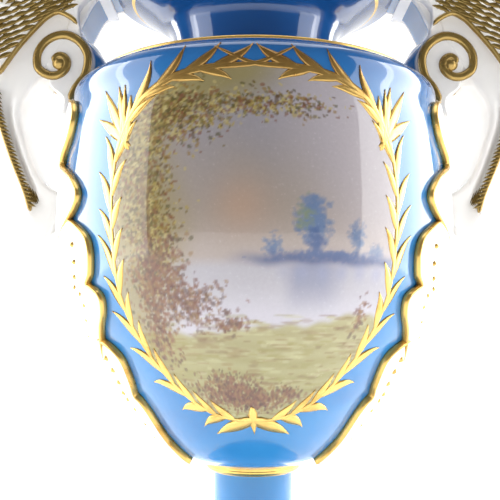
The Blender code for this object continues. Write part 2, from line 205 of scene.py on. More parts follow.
class HandleSizes(bpy.types.PropertyGroup):
    half: bpy.props.FloatProperty(
        name="Half Thickness", description="Half the handle's thickness, front to back", default=0.0125,
        unit="LENGTH")
    leaf_proud: bpy.props.FloatProperty(
        name="Leaf Height", description="How far the leaf stands out of the handle's face", default=0.0026,
        unit="LENGTH")
    volute_radius: bpy.props.FloatProperty(
        name="Volute Radius", description="Outside radius of the scroll", default=0.0105, unit="LENGTH")
    volute_out: bpy.props.FloatProperty(
        name="Volute Out", description="The scroll's centre outside the widest radius", default=0.0014,
        unit="LENGTH")
    volute_up: bpy.props.FloatProperty(
        name="Volute Up", description="The scroll's centre above the shoulder", default=0.0104, unit="LENGTH")
    ridge: bpy.props.FloatProperty(
        name="Ridge Radius", description="Radius of the gilt ridges", default=0.00115, unit="LENGTH")
    husk_relief: bpy.props.FloatProperty(
        name="Husk Relief", description="How far the husks stand out of the bowl", default=0.0018,
        unit="LENGTH")


class VaseColours(bpy.types.PropertyGroup):
    celeste: bpy.props.FloatVectorProperty(
        name="Blue Glaze", description="Colour of the turquoise-blue glaze", default=linear(52, 129, 188),
        subtype="COLOR", min=0.0, max=1.0)
    # The deeper blue serves the glaze's random deep places and also the painted shade towards the neck
    celeste_deep_and_shade: bpy.props.FloatVectorProperty(
        name="Deep Blue", description="Colour of the glaze where it pools", default=linear(18, 62, 126),
        subtype="COLOR", min=0.0, max=1.0)
    porcelain: bpy.props.FloatVectorProperty(
        name="Porcelain", description="Colour of the white porcelain", default=linear(246, 244, 241),
        subtype="COLOR", min=0.0, max=1.0)
    gilt: bpy.props.FloatVectorProperty(
        name="Gilt", description="Colour of the gilding", default=linear(234, 196, 112), subtype="COLOR",
        min=0.0, max=1.0)
    gilt_worn: bpy.props.FloatVectorProperty(
        name="Worn Gilt", description="Colour of the gilding where it is thin", default=linear(176, 128, 52),
        subtype="COLOR", min=0.0, max=1.0)
    # Painted dark reflection on the wreath's gilding near its top
    gilt_dark_reflection: bpy.props.FloatVectorProperty(
        name="Brown Gilt", description="Colour of the wreath's gilding at its top",
        default=linear(112, 72, 34), subtype="COLOR", min=0.0, max=1.0)
    gilt_olive: bpy.props.FloatVectorProperty(
        name="Olive Gilt", description="Colour of the handles' gilding", default=linear(142, 120, 70),
        subtype="COLOR", min=0.0, max=1.0)
    hatch_olive: bpy.props.FloatVectorProperty(
        name="Hatching", description="Colour of the handles' hatching", default=linear(104, 90, 48),
        subtype="COLOR", min=0.0, max=1.0)


class StageSettings(bpy.types.PropertyGroup):
    lens: bpy.props.FloatProperty(
        name="Lens", description="Camera lens in millimetres", default=57.6)
    distance: bpy.props.FloatProperty(
        name="Distance", description="Camera distance from the vase's axis", default=0.3213, unit="LENGTH")
    height: bpy.props.FloatProperty(
        name="Height", description="Camera height above the floor", default=0.124, unit="LENGTH")
    floor: bpy.props.FloatProperty(
        name="Floor", description="Half the floor's side", default=1.6, unit="LENGTH")


# Shapes


def smooth(points, count):
    """A rounded line through the points (Catmull-Rom cubics), sampled at count places evenly along it."""
    points = np.asarray(points, float)
    ends = np.vstack([points[:1], points, points[-1:]])
    t = np.linspace(0, 1, 24, endpoint=False)[:, None]
    a, b, c, d = ends[:-3, None], ends[1:-2, None], ends[2:-1, None], ends[3:, None]
    line = 0.5 * (2 * b + (c - a) * t + (2 * a - 5 * b + 4 * c - d) * t**2 + (3 * b - a - 3 * c + d) * t**3)
    line = np.vstack([line.reshape(-1, points.shape[1]), points[-1:]])
    along = np.concatenate([[0], np.cumsum(np.linalg.norm(np.diff(line, axis=0), axis=1))])
    places = np.linspace(0, along[-1], count)
    return np.column_stack([np.interp(places, along, line[:, axis]) for axis in range(points.shape[1])])


def matched(points, count):
    """A rounded line through the points, sampled evenly by their numbers, so that two lines stay paired."""
    points = np.asarray(points, float)
    ends = np.vstack([2 * points[:1] - points[1:2], points, 2 * points[-1:] - points[-2:-1]])
    place = np.linspace(0, len(points) - 1, count)
    index = np.minimum(place.astype(int), len(points) - 2)
    t = (place - index)[:, None]
    a, b, c, d = ends[index], ends[index + 1], ends[index + 2], ends[index + 3]
    return 0.5 * (2 * b + (c - a) * t + (2 * a - 5 * b + 4 * c - d) * t**2 + (3 * b - a - 3 * c + d) * t**3)


def headings(path):
    """The unit directions along a line of points, and those to its right."""
    way = np.gradient(path, axis=0)
    way /= np.linalg.norm(way, axis=1)[:, None]
    return way, np.column_stack([way[:, 1], -way[:, 0]])


def inset(path, distance):
    """The path moved sideways to its left by the distance."""
    return path - headings(path)[1] * distance


def tube_faces(rows, columns):
    """The quads of one closed tube of rows by columns points and the triangles that close its two ends.

    The points are numbered row by row; the two end points follow them.
    """
    number = np.arange(rows * columns).reshape(rows, columns)
    beside = np.roll(number, -1, axis=1)
    quads = np.stack([number[:-1], beside[:-1], beside[1:], number[1:]], axis=-1).reshape(-1, 4)
    first, last = rows * columns, rows * columns + 1
    start = np.stack([beside[0], number[0], np.full(columns, first)], axis=-1)
    end = np.stack([number[-1], beside[-1], np.full(columns, last)], axis=-1)
    return quads, np.vstack([start, end])


def tubes(name, grids, extra=None):
    """Closed tubes as one mesh. grids is tube, row, column, xyz; columns run round, and the ends are closed.

    A tube whose faces point inwards, told by the sign of its volume, has its columns turned round.
    extra is a dictionary of per-point arrays shaped like grids, kept as attributes.
    """
    grids = np.asarray(grids, float)
    if grids.ndim == 3:
        grids = grids[None]
        extra = {key: value[None] for key, value in (extra or {}).items()}
    extra = extra or {}
    count, rows, columns, _ = grids.shape
    quads, caps = tube_faces(rows, columns)
    triangles = np.vstack([quads[:, [0, 1, 2]], quads[:, [0, 2, 3]], caps])
    first = grids[:, 0].mean(axis=1)
    last = grids[:, -1].mean(axis=1)
    points = np.concatenate([grids.reshape(count, -1, 3), first[:, None], last[:, None]], axis=1)
    a, b, c = (points[:, triangles[:, k]] for k in range(3))
    inside_out = np.einsum("tfk,tfk->t", a, np.cross(b, c)) < 0
    points[inside_out, : rows * columns] = grids[inside_out][:, :, ::-1].reshape(inside_out.sum(), -1, 3)
    size = rows * columns + 2
    offsets = (np.arange(count) * size)[:, None, None]
    all_quads = (quads[None] + offsets).reshape(-1, 4)
    all_caps = (caps[None] + offsets).reshape(-1, 3)
    mesh = bpy.data.meshes.new(name)
    points = points.reshape(-1, 3)
    mesh.vertices.add(len(points))
    mesh.vertices.foreach_set("co", points.ravel())
    corners = np.concatenate([all_quads.ravel(), all_caps.ravel()])
    mesh.loops.add(len(corners))
    mesh.loops.foreach_set("vertex_index", corners.astype(np.int32))
    cap_starts = len(all_quads) * 4 + np.arange(len(all_caps)) * 3
    starts = np.concatenate([np.arange(len(all_quads)) * 4, cap_starts])
    mesh.polygons.add(len(starts))
    mesh.polygons.foreach_set("loop_start", starts.astype(np.int32))
    mesh.polygons.foreach_set("use_smooth", np.ones(len(starts), bool))
    for key, value in extra.items():
        value = np.asarray(value, float)
        value = value.reshape(count, rows, columns, -1)
        value[inside_out] = value[inside_out][:, :, ::-1]
        ends = [value[:, 0].mean(axis=1)[:, None], value[:, -1].mean(axis=1)[:, None]]
        value = np.concatenate([value.reshape(count, rows * columns, -1), *ends], axis=1)
        width = value.shape[-1]
        value = value.reshape(-1, width)
        if width == 1:
            mesh.attributes.new(key, "FLOAT", "POINT").data.foreach_set("value", value.ravel())
        else:
            tinted = np.column_stack([value[:, :3], np.ones(len(value))])
            mesh.attributes.new(key, "FLOAT_COLOR", "POINT").data.foreach_set("color", tinted.ravel())
    mesh.update(calc_edges=True)
    mesh.validate()
    made = bpy.data.objects.new(name, mesh)
    bpy.context.scene.collection.objects.link(made)
    return made


def hoop(name, grid):
    """A closed ring: rows run round the vase, columns round the wire, and both join up with themselves."""
    rows, columns, _ = grid.shape
    number = np.arange(rows * columns).reshape(rows, columns)
    along = np.roll(number, -1, axis=0)
    quads = np.stack([number, along, np.roll(along, -1, axis=1), np.roll(number, -1, axis=1)], axis=-1)
    points = grid.reshape(-1, 3)
    quads = quads.reshape(-1, 4)
    a, b, c = points[quads[:, 0]], points[quads[:, 1]], points[quads[:, 2]]
    if np.einsum("fk,fk->", a, np.cross(b, c)) < 0:
        quads = quads[:, ::-1]
    mesh = bpy.data.meshes.new(name)
    mesh.from_pydata(points.tolist(), [], quads.tolist())
    mesh.polygons.foreach_set("use_smooth", np.ones(len(quads), bool))
    mesh.update()
    made = bpy.data.objects.new(name, mesh)
    bpy.context.scene.collection.objects.link(made)
    return made


def revolve(name, profile, columns, ripple=None):
    """The profile turned about the upright axis; it starts and ends on the axis, where the ends close.

    ripple, if given, is a function of turn and profile that gives the radius's share.
    """
    turn = np.linspace(0, 2 * math.pi, columns, endpoint=False)[None, :]
    radius = profile[1:-1, 0][:, None] * np.ones_like(turn)
    height = profile[1:-1, 1][:, None] * np.ones_like(turn)
    if ripple is not None:
        radius = radius * ripple(turn, height)
    grid = np.stack([radius * np.cos(turn), radius * np.sin(turn), height], axis=-1)
    made = tubes(name, grid)
    ends = np.array([[0, 0, profile[0, 1]], [0, 0, profile[-1, 1]]])
    made.data.vertices[-2].co = ends[0]
    made.data.vertices[-1].co = ends[1]
    made.data.update()
    return made


def box_loop(face, corner, side):
    """The round of a rounded box: each point's corner centre, as shares, and the way it points out.

    It runs along the front face, round a corner, along a side, and so on. face, corner and side count points.
    """
    shares = []
    ways = []
    across = np.linspace(-1, 1, face)
    deep = np.linspace(-1, 1, side + 2)[1:-1]
    for quarter in range(4):
        turn = np.radians(-90 + 90 * quarter + np.linspace(0, 90, corner + 2)[1:-1])
        if quarter % 2 == 0:
            sign = 1 if quarter == 0 else -1
            shares.append(np.column_stack([sign * across, np.full(face, -sign)]))
            ways.append(np.column_stack([np.zeros(face), np.full(face, -sign)]))
            hold = (sign, -sign)
        else:
            sign = 1 if quarter == 1 else -1
            shares.append(np.column_stack([np.full(side, sign), sign * deep]))
            ways.append(np.column_stack([np.full(side, sign), np.zeros(side)]))
            hold = (sign, sign)
        shares.append(np.tile(hold, (corner, 1)).astype(float))
        ways.append(np.column_stack([np.cos(turn), np.sin(turn)]))
    return np.vstack(shares), np.vstack(ways)


def band(inner, outer, half, rounding, rows, hollow=None, bulge=None, blue=None, face=15, relief=None):
    """A closed strip between two lines in the handle's plane, its section a rounded box from face to face.

    A section runs from the inner line to the outer one and from the front face to the back. hollow sinks the
    two faces by metres given along and across the strip, relief raises them, bulge swells the inner side, and
    blue marks the stretch of inner side that is glazed blue.
    """
    low = matched(inner, rows)
    high = matched(outer, rows)
    middle = (low + high) / 2
    reach = (high - low) / 2
    width = np.linalg.norm(reach, axis=1)
    way = reach / np.maximum(width, 1e-9)[:, None]
    shares, ways = box_loop(face, 4, 9)
    round_by = np.minimum(rounding, 0.9 * width)[:, None]
    across = shares[None, :, 0] * (width[:, None] - round_by) + ways[None, :, 0] * round_by
    deep = shares[None, :, 1] * (half - round_by) + ways[None, :, 1] * round_by
    along = np.linspace(0, 1, rows)[:, None]
    flat = (np.abs(ways[:, 1]) > 0.999)[None, :] * np.sign(ways[:, 1])[None, :]
    if hollow is not None:
        deep = deep - flat * hollow(along, shares[None, :, 0])
    if relief is not None:
        deep = deep + flat * relief(along, shares[None, :, 0])
    if bulge is not None:
        dome = (1 - (deep / half) ** 2).clip(0)
        across = across - bulge(along) * dome * (shares[None, :, 0] < -0.999)
    grid = np.empty((rows, len(shares), 3))
    grid[..., 0] = middle[:, None, 0] + across * way[:, None, 0]
    grid[..., 1] = deep
    grid[..., 2] = middle[:, None, 1] + across * way[:, None, 1]
    tint = np.zeros(grid.shape[:2])
    if blue is not None:
        tint = (ways[None, :, 0] < -0.999) * blue(along)
    return grid, tint


def mirrored(grids):
    """The grids, each followed by its copy on the other side of the YZ plane."""
    return np.concatenate([grids, grids * np.array([-1.0, 1.0, 1.0])])


def lens(columns=5, back=2):
    """The round of a thin blade's section: shares across and of its height, over the front and back."""
    across = np.linspace(-1, 1, columns)
    under = np.linspace(1, -1, back + 2)[1:-1]
    return np.concatenate([across, under]), np.concatenate([1 - across**2, np.full(back, -1.0)])


def blades(start, bend, end, half, chart, height=0.00022, root=0.0002):
    """Pointed leaf strokes on a surface, each a quadratic curve in the chart from start past bend to end.

    The half width grows as a sine of the length's power and ends in a point, and the section is a thin lens.
    """
    start, bend, end = (np.asarray(v, float)[:, None, :] for v in (start, bend, end))
    s = np.linspace(0.0, 1.0, 9)[None, :, None]
    line = (1 - s) ** 2 * start + 2 * s * (1 - s) * bend + s**2 * end
    way = 2 * (1 - s) * (bend - start) + 2 * s * (end - bend)
    way /= np.maximum(np.linalg.norm(way, axis=-1, keepdims=True), 1e-9)
    side = np.stack([-way[..., 1], way[..., 0]], axis=-1)
    swell = np.sin(np.pi * np.clip(s[..., 0], 0.02, 0.985) ** 0.75)
    width = np.asarray(half, float)[:, None] * swell
    across, lift = lens()
    place = line[:, :, None, :] + side[:, :, None, :] * (width[:, :, None] * across)[..., None]
    lifted = np.where(lift < 0, -root, height * lift)[None, None, :] * np.ones(place.shape[:-1])
    return chart(place[..., 0], place[..., 1], lifted)


def cords(paths, half, chart, height, root=0.0002):
    """Raised lines on a surface. Each path is an array of chart points, and half is its half width."""
    paths = np.asarray(paths, float)
    way = np.gradient(paths, axis=1)
    way /= np.maximum(np.linalg.norm(way, axis=-1, keepdims=True), 1e-9)
    side = np.stack([-way[..., 1], way[..., 0]], axis=-1)
    rows = paths.shape[1]
    s = np.linspace(0, 1, rows)
    swell = np.clip(np.minimum(s, 1 - s) * rows / 3.0, 0.08, 1) ** 0.5
    across, lift = lens(7, 3)
    width = np.broadcast_to(np.asarray(half, float), paths.shape[:2]) * swell
    place = paths[:, :, None, :] + side[:, :, None, :] * (width[:, :, None] * across)[..., None]
    rise = np.sqrt(np.clip(lift, 0, 1))
    lifted = np.where(lift < 0, -root, height * rise)[None, None, :] * np.ones(place.shape[:-1])
    return chart(place[..., 0], place[..., 1], lifted)


# The vase's own lines


class Lines:
    """The vase's outlines and the places on it, worked out from the sizes."""

    def __init__(self):
        scene = bpy.context.scene
        self.sizes = scene.vase_sizes
        self.lid = scene.lid_sizes
        self.handle = scene.handle_sizes
        s = self.sizes
        self.radius = s.body_radius
        self.shoulder_radius = s.body_radius - s.shoulder_inset
        self.collar_z = s.foot_height
        self.body_z = self.collar_z + s.collar_height
        self.shoulder_z = self.body_z + s.body_height
        self.rim_z = self.shoulder_z + s.neck_height
        self.lid_z = self.rim_z + self.lid.gap
        shape = np.array(BOWL_SHAPE) * (s.body_radius, s.body_height) + (0, self.body_z)
        self.bowl = smooth(np.vstack([shape, [self.shoulder_radius, self.shoulder_z]]), 220)

    def neck(self):
        """From the shoulder's edge in to the neck and out to the foot of the rim band."""
        s = self.sizes
        reach = s.rim_radius - s.neck_radius
        rise = s.neck_height
        middle = (self.shoulder_radius + s.neck_radius) / 2
        points = [
            (self.shoulder_radius, self.shoulder_z),
            (middle, self.shoulder_z + 0.07 * rise),
            (s.neck_radius + 0.1 * reach, self.shoulder_z + 0.11 * rise),
        ]
        points += [(s.neck_radius + out * reach, self.shoulder_z + up * rise) for out, up in NECK_SHAPE]
        points.append((s.rim_radius, self.rim_z - s.rim_band))
        return smooth(points, 110)

    def foot(self):
        """From under the collar down the stem and the spread foot to the ring's underside."""
        s = self.sizes
        drop = s.foot_height - s.foot_step
        reach = s.foot_radius - s.stem_radius
        flare = [(0.0, 1.0), (0.0, 0.78), (0.06, 0.56), (0.22, 0.37), (0.48, 0.22), (0.78, 0.11),
                 (0.86, 0.09)]
        flare = smooth([(s.stem_radius + out * reach, s.foot_step + up * drop) for out, up in flare], 60)
        step = s.foot_step
        bead = np.radians(np.linspace(80, -80, 9))
        bead = np.column_stack([
            s.foot_radius - 0.34 * step + 0.17 * step * np.cos(bead),
            1.18 * step + 0.19 * step * np.sin(bead)])
        edge = [(s.foot_radius - 0.10 * step, 0.93 * step), (s.foot_radius, 0.80 * step),
                (s.foot_radius, 0.14 * step), (s.foot_radius - 0.04 * step, 0.04 * step),
                (s.foot_radius - 0.13 * step, 0.0)]
        return np.vstack([flare, bead, edge])

    def hollow(self):
        """The recess under the foot, from the ring's inner edge up to the axis."""
        s = self.sizes
        inner = s.foot_radius - s.foot_ring
        top = s.foot_height * 0.55
        throat = max(s.stem_radius - 1.5 * s.wall, 0.3 * s.stem_radius)
        points = [
            (inner, 0.0),
            (inner - 0.2 * s.foot_ring, s.foot_step * 0.7),
            (throat + 0.50 * (inner - throat), s.foot_step + 0.06 * top),
            (throat + 0.18 * (inner - throat), s.foot_step + 0.26 * top),
            (throat, top),
            (0.0, top + 0.5 * throat),
        ]
        return smooth(points, 30)

    def vase_profile(self):
        """The whole turned vase: up the inside, over the rim, down the outside and into the foot."""
        s = self.sizes
        outside = np.vstack([self.bowl, self.neck()[1:]])
        inside = inset(outside, s.wall)
        inside = inside[8:][::4]
        inside = inside[inside[:, 1] < self.rim_z - s.rim_band - 0.5 * s.wall]
        rim, top = s.rim_radius, self.rim_z
        turn = np.radians(np.linspace(90, 0, 5))
        lip = np.vstack([
            [(rim - s.wall, top - s.rim_band), (rim - s.wall, top - 0.15 * s.wall),
             (rim - 0.8 * s.wall, top)],
            np.column_stack([rim - 0.2 * s.wall + 0.2 * s.wall * np.cos(turn),
                             top - 0.2 * s.wall + 0.2 * s.wall * np.sin(turn)]),
            [(rim, top - 0.7 * s.rim_band), (rim, top - s.rim_band)],
        ])
        turn = np.linspace(-90, 90, 13)
        collar = np.column_stack([
            s.stem_radius + (s.collar_radius - s.stem_radius) * np.cos(np.radians(turn)),
            self.collar_z + s.collar_height * (0.5 - 0.5 * np.sin(np.radians(turn)))])
        start = [(0.0, inside[0, 1] - 0.1 * s.wall)]
        return np.vstack([start, inside, lip, outside[::-1][1:], collar, self.foot()[1:], self.hollow()])

    def lid_profile(self):
        """The lid: finial and dome, round the edge, and back under it with a locating flange."""
        s, lid = self.sizes, self.lid
        edge = s.rim_radius + lid.overhang
        crown = self.lid_z + lid.edge + lid.dome
        finial = [(0.0, 1.0), (0.10, 0.998), (0.22, 0.985), (0.52, 0.88), (0.85, 0.70), (1.0, 0.50),
                  (0.86, 0.32), (0.48, 0.22), (0.46, 0.15)]
        finial = smooth([(r * lid.finial_radius, crown + up * lid.finial_height) for r, up in finial], 60)
        bead = np.radians(np.linspace(70, -70, 11))
        bead = np.column_stack([
            0.62 * lid.bead_radius + 0.38 * lid.bead_radius * np.cos(bead),
            crown + (0.07 + 0.055 * np.sin(bead)) * lid.finial_height])
        span = edge - lid.bead_radius
        dome = [(0.0, 0.02), (0.16, 0.10), (0.36, 0.25), (0.58, 0.45), (0.78, 0.72), (0.90, 0.92),
                (0.955, 1.0)]
        dome = smooth([(lid.bead_radius + out * span, crown - down * lid.dome) for out, down in dome], 60)
        turn = np.radians(np.linspace(80, -90, 13))
        rounded = np.column_stack([
            edge - 0.5 * lid.edge + 0.5 * lid.edge * np.cos(turn),
            self.lid_z + lid.edge * (0.5 + 0.5 * np.sin(turn))])
        flange = s.rim_radius - s.wall - 0.0006
        foot = self.rim_z - s.rim_band + 0.0006
        under = [(flange, self.lid_z), (flange, foot + 0.0006), (flange - 0.0006, foot),
                 (flange - 0.0024, foot), (flange - 0.003, foot + 0.0006),
                 (flange - 0.003, self.lid_z + 0.35 * lid.edge)]
        ceiling = dome[::-1][6:-6:3] - (0.35 * lid.wall, 1.1 * lid.wall)
        return np.vstack([finial, bead, dome[1:], rounded, under, ceiling, [(0.0, crown - 1.1 * lid.wall)]])

    def on_bowl(self, arc, height, lift):
        """A point on the bowl: arc round from the front, measured at the widest radius, height, and lift."""
        z = np.clip(height, self.bowl[0, 1], self.bowl[-1, 1])
        radius = np.interp(z, self.bowl[:, 1], self.bowl[:, 0])
        slope = (np.interp(z + MM, self.bowl[:, 1], self.bowl[:, 0])
                 - np.interp(z - MM, self.bowl[:, 1], self.bowl[:, 0])) / (2 * MM)
        long = np.sqrt(1 + slope**2)
        turn = arc / self.radius
        reach = radius + lift / long
        return np.stack([reach * np.sin(turn), -reach * np.cos(turn), height - lift * slope / long], axis=-1)

    def by_body(self, out, up):
        """A place in the handle's plane, in millimetres out from the bowl's side and up from the shoulder."""
        return (self.radius + out * MM, self.shoulder_z + HANDLE_RISE + up * MM)

    def by_rim(self, out, up):
        """The same, out from the rim and up from its top."""
        return (self.sizes.rim_radius + out * MM, self.rim_z + up * MM)

    def by_arch(self, out, up):
        """The same, out from the bowl's side and up from the rim's top."""
        return (self.radius + out * MM, self.rim_z + up * MM)

    def volute(self):
        """The scroll's centre."""
        return np.array([self.radius + self.handle.volute_out, self.shoulder_z + self.handle.volute_up])


# Finishes


class Value:
    """One shader socket, on which Python's operators add the Math nodes of an expression."""

    def __init__(self, recipe, socket):
        self.recipe = recipe
        self.socket = socket

    def maths(self, operation, *others):
        values = {index: other for index, other in enumerate((self, *others))}
        return self.recipe.node("ShaderNodeMath", {"operation": operation}, values)

    def __add__(self, other):
        return self.maths("ADD", other)

    def __radd__(self, other):
        return self.maths("ADD", other)

    def __sub__(self, other):
        return self.maths("SUBTRACT", other)

    def __rsub__(self, other):
        return self.recipe.node("ShaderNodeMath", {"operation": "SUBTRACT"}, {0: other, 1: self})

    def __mul__(self, other):
        return self.maths("MULTIPLY", other)

    def __rmul__(self, other):
        return self.maths("MULTIPLY", other)


class Recipe:
    """One material's node tree and its Principled shader."""

    def __init__(self, name):
        self.material = bpy.data.materials.new(name)
        self.material.use_nodes = True
        self.tree = self.material.node_tree
        self.shader = self.tree.nodes["Principled BSDF"]

    def node(self, kind, settings=None, values=None, output=0):
        """A node of this kind: its settings first, then its sockets' values or links, and one output."""
        made = self.tree.nodes.new(kind)
        for key, setting in (settings or {}).items():
            setattr(made, key, setting)
        for key, value in (values or {}).items():
            if isinstance(value, Value):
                self.tree.links.new(value.socket, made.inputs[key])
            else:
                made.inputs[key].default_value = value
        return Value(self, made.outputs[output])

    def set(self, **values):
        """The Principled shader's sockets, named with underscores for spaces."""
        for key, value in values.items():
            socket = self.shader.inputs[key.replace("_", " ")]
            if isinstance(value, Value):
                self.tree.links.new(value.socket, socket)
            else:
                socket.default_value = value

    def place(self):
        return self.node("ShaderNodeTexCoord", output="Object")

    def axis(self, vector, name):
        return self.node("ShaderNodeSeparateXYZ", None, {"Vector": vector}, name)

    def step(self, value, low, high):
        """Nought below low, one above high, and a soft rise between."""
        return self.node(
            "ShaderNodeMapRange", {"interpolation_type": "SMOOTHSTEP"},
            {"Value": value, "From Min": low, "From Max": high})

    def within(self, value, low, high):
        """One between low and high, with soft edges."""
        rise = self.step(value, low - GILT_EDGE, low + GILT_EDGE)
        return rise * (1 - self.step(value, high - GILT_EDGE, high + GILT_EDGE))

    def mix(self, factor, first, second):
        """Two colours mixed by a factor."""
        return self.node(
            "ShaderNodeMix", {"data_type": "RGBA"}, {"Factor": factor, 6: first, 7: second}, 2)

    def noise(self, vector, scale, detail=3.0, rough=0.5):
        values = {"Vector": vector, "Scale": scale, "Detail": detail, "Roughness": rough}
        return self.node("ShaderNodeTexNoise", None, values)

    def bump(self, height, distance, strength=1.0):
        return self.node(
            "ShaderNodeBump", None, {"Height": height, "Distance": distance, "Strength": strength})


def rgb(colour):
    return (*colour, 1.0)


def gilding(recipe, place, colours):
    """The gilding's colour and roughness: brighter where it was burnished, browner where it is thin."""
    cloud = recipe.noise(place, 90.0, 4.0, 0.6)
    worn = recipe.step(cloud, 0.48, 0.75)
    colour = recipe.mix(worn * 0.7, rgb(colours.gilt), rgb(colours.gilt_worn))
    return colour, 0.17 + cloud * 0.16


def glaze_finish(name, gilt_bands, lines):
    """Blue glaze, deeper in places, painted shade towards the neck, and gilt bands given as z and radius
    ranges.
    """
    colours = bpy.context.scene.vase_colours
    recipe = Recipe(name)
    place = recipe.place()
    height = recipe.axis(place, "Z")
    flat = recipe.node("ShaderNodeVectorMath", {"operation": "MULTIPLY"}, {0: place, 1: (1.0, 1.0, 0.0)})
    radius = recipe.node("ShaderNodeVectorMath", {"operation": "LENGTH"}, {0: flat}, "Value")
    cloud = recipe.noise(place, 22.0, 3.0, 0.55)
    blue = recipe.mix(recipe.step(cloud, 0.35, 0.75) * 0.35, rgb(colours.celeste), rgb(colours.celeste_deep_and_shade))
    # Painted shade: the blue darkens from below the shoulder up over the neck, rim and lid, standing in for
    # the shadow under the rim and lid
    high = recipe.step(height, lines.shoulder_z - 0.034, lines.shoulder_z + 0.006)
    blue = recipe.mix(high * 0.8, blue, rgb(colours.celeste_deep_and_shade))
    gilt = None
    for low, high, near, far in gilt_bands:
        mask = recipe.within(height, low, high) * recipe.within(radius, near, far)
        gilt = mask if gilt is None else gilt.maths("MAXIMUM", mask)
    gold, gold_rough = gilding(recipe, place, colours)
    recipe.set(
        Base_Color=recipe.mix(gilt, blue, gold),
        Metallic=gilt,
        Roughness=0.16 * (1 - gilt) + gold_rough * gilt,
        Coat_Weight=1 - gilt * 0.95,
    )
    recipe.set(Coat_Roughness=0.02, Coat_IOR=1.5, Specular_IOR_Level=0.15)
    wave = recipe.noise(place, 55.0, 2.0, 0.4)
    recipe.set(Normal=recipe.bump(wave, 0.0002, 0.25))
    return recipe.material


def porcelain_finish(name, tinted):
    """White glazed porcelain, faintly darker in soft random patches; the attribute blue marks the walls
    glazed blue.
    """
    colours = bpy.context.scene.vase_colours
    recipe = Recipe(name)
    place = recipe.place()
    cloud = recipe.noise(place, 60.0, 3.0, 0.5)
    shade = tuple(value * 0.93 for value in colours.porcelain)
    white = recipe.mix(recipe.step(cloud, 0.4, 0.8), rgb(colours.porcelain), rgb(shade))
    if tinted:
        mark = recipe.node("ShaderNodeAttribute", {"attribute_name": "blue"}, None, "Fac")
        white = recipe.mix(recipe.step(mark, 0.3, 0.7), white, rgb(colours.celeste))
    recipe.set(Base_Color=white, Roughness=0.2 + cloud * 0.06)
    recipe.set(Coat_Weight=0.8, Coat_Roughness=0.03, Specular_IOR_Level=0.4)
    wave = recipe.noise(place, 140.0, 2.0, 0.4)
    recipe.set(Normal=recipe.bump(wave, 0.00015, 0.3))
    return recipe.material


def gilt_finish(name, dark=0.0, tone=None, top=None):
    """Burnished gilding with browner places and a faint unevenness.

    dark is the share of a deeper shade, tone a colour laid over it, and top a height where a painted dark
    reflection turns it brown.
    """
    colours = bpy.context.scene.vase_colours
    recipe = Recipe(name)
    place = recipe.place()
    colour, rough = gilding(recipe, place, colours)
    if dark:
        worn = tuple(value * (1 - dark) for value in colours.gilt_worn)
        colour = recipe.mix(dark, colour, rgb(worn))
    if tone is not None:
        colour = recipe.mix(0.7, colour, rgb(tone))
    # Painted dark reflection: the gilding browns up towards the top height
    if top is not None:
        high = recipe.node("ShaderNodeMapRange", None, {
            "Value": recipe.axis(place, "Z"), "From Min": top - 0.012, "From Max": top + 0.004,
            "To Max": 0.8})
        colour = recipe.mix(high, colour, rgb(colours.gilt_dark_reflection))
    recipe.set(Base_Color=colour, Metallic=0.7, Roughness=rough)
    wave = recipe.noise(place, 260.0, 2.0, 0.5)
    recipe.set(Normal=recipe.bump(wave, 0.0002, 0.35))
    return recipe.material


def painting_finish(name):
    """The painted picture under its glaze: the colour is the piece's own attribute, broken up by grain."""
    recipe = Recipe(name)
    place = recipe.place()
    colour = recipe.node("ShaderNodeAttribute", {"attribute_name": "paint"}, None, "Color")
    grain = recipe.noise(place, 900.0, 3.0, 0.6)
    light = recipe.node("ShaderNodeHueSaturation", None, {"Value": 0.76 + grain * 0.12, "Color": colour})
    recipe.set(Base_Color=light, Roughness=0.22 + grain * 0.08)
    recipe.set(Coat_Weight=1.0, Coat_Roughness=0.02, Specular_IOR_Level=0.35)
    return recipe.material


# Pieces


def finish_piece(made, material, node="vase"):
    """The piece gets its material, rides on the vase's one body, and stands for its CAD node."""
    made.data.materials.append(material)
    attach(made, "root")
    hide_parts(node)


def gilt_ring(name, radius, height, wide, tall, gilt):
    """A gilt line round the vase: an oval wire, with half its width and height given, bent into a ring."""
    turn = np.linspace(0, 2 * math.pi, 160, endpoint=False)[:, None]
    wire = np.linspace(0, 2 * math.pi, 12, endpoint=False)[None, :]
    reach = radius + wide * np.cos(wire)
    rise = height + tall * np.sin(wire) + 0 * turn
    grid = np.stack([reach * np.cos(turn), reach * np.sin(turn), rise], axis=-1)
    finish_piece(hoop(name, grid), gilt)


class VASE_OT_body(bpy.types.Operator):
    """Turn the vase's body, neck and foot and glaze them blue with gilt lines"""

    bl_idname = "vase.body"
    bl_label = "Vase Body"

    def execute(self, context):
        lines = Lines()
        s = lines.sizes
        made = revolve("vase_body", lines.vase_profile(), 192)
        edge = lines.shoulder_z
        bands = [
            (edge - 0.0009, edge + 0.0006, 0.0600, 0.080),
            (lines.collar_z - 0.0004, lines.body_z + 0.0002, 0.0, 0.0205),
            (lines.rim_z - 0.0034, lines.rim_z + 0.001, 0.052, 0.080),
            (lines.rim_z - 0.0092, lines.rim_z - 0.0083, 0.040, 0.080),
            (-0.001, 0.72 * s.foot_step, 0.040, 0.080),
            (s.foot_step * 1.02, s.foot_step * 1.38, 0.040, 0.080),
        ]
        finish_piece(made, glaze_finish("celeste_glaze", bands, lines))

        gilt = gilt_finish("line_gilt")
        ring, wide, tall = COLLAR_ROLL
        gilt_ring("collar_line", ring, lines.body_z - 0.0004, wide, tall, gilt)
        ring = lines.shoulder_radius - 0.0001
        gilt_ring("shoulder_line", ring, edge - 0.0002, SHOULDER_LINE, SHOULDER_LINE, gilt)
        return {"FINISHED"}


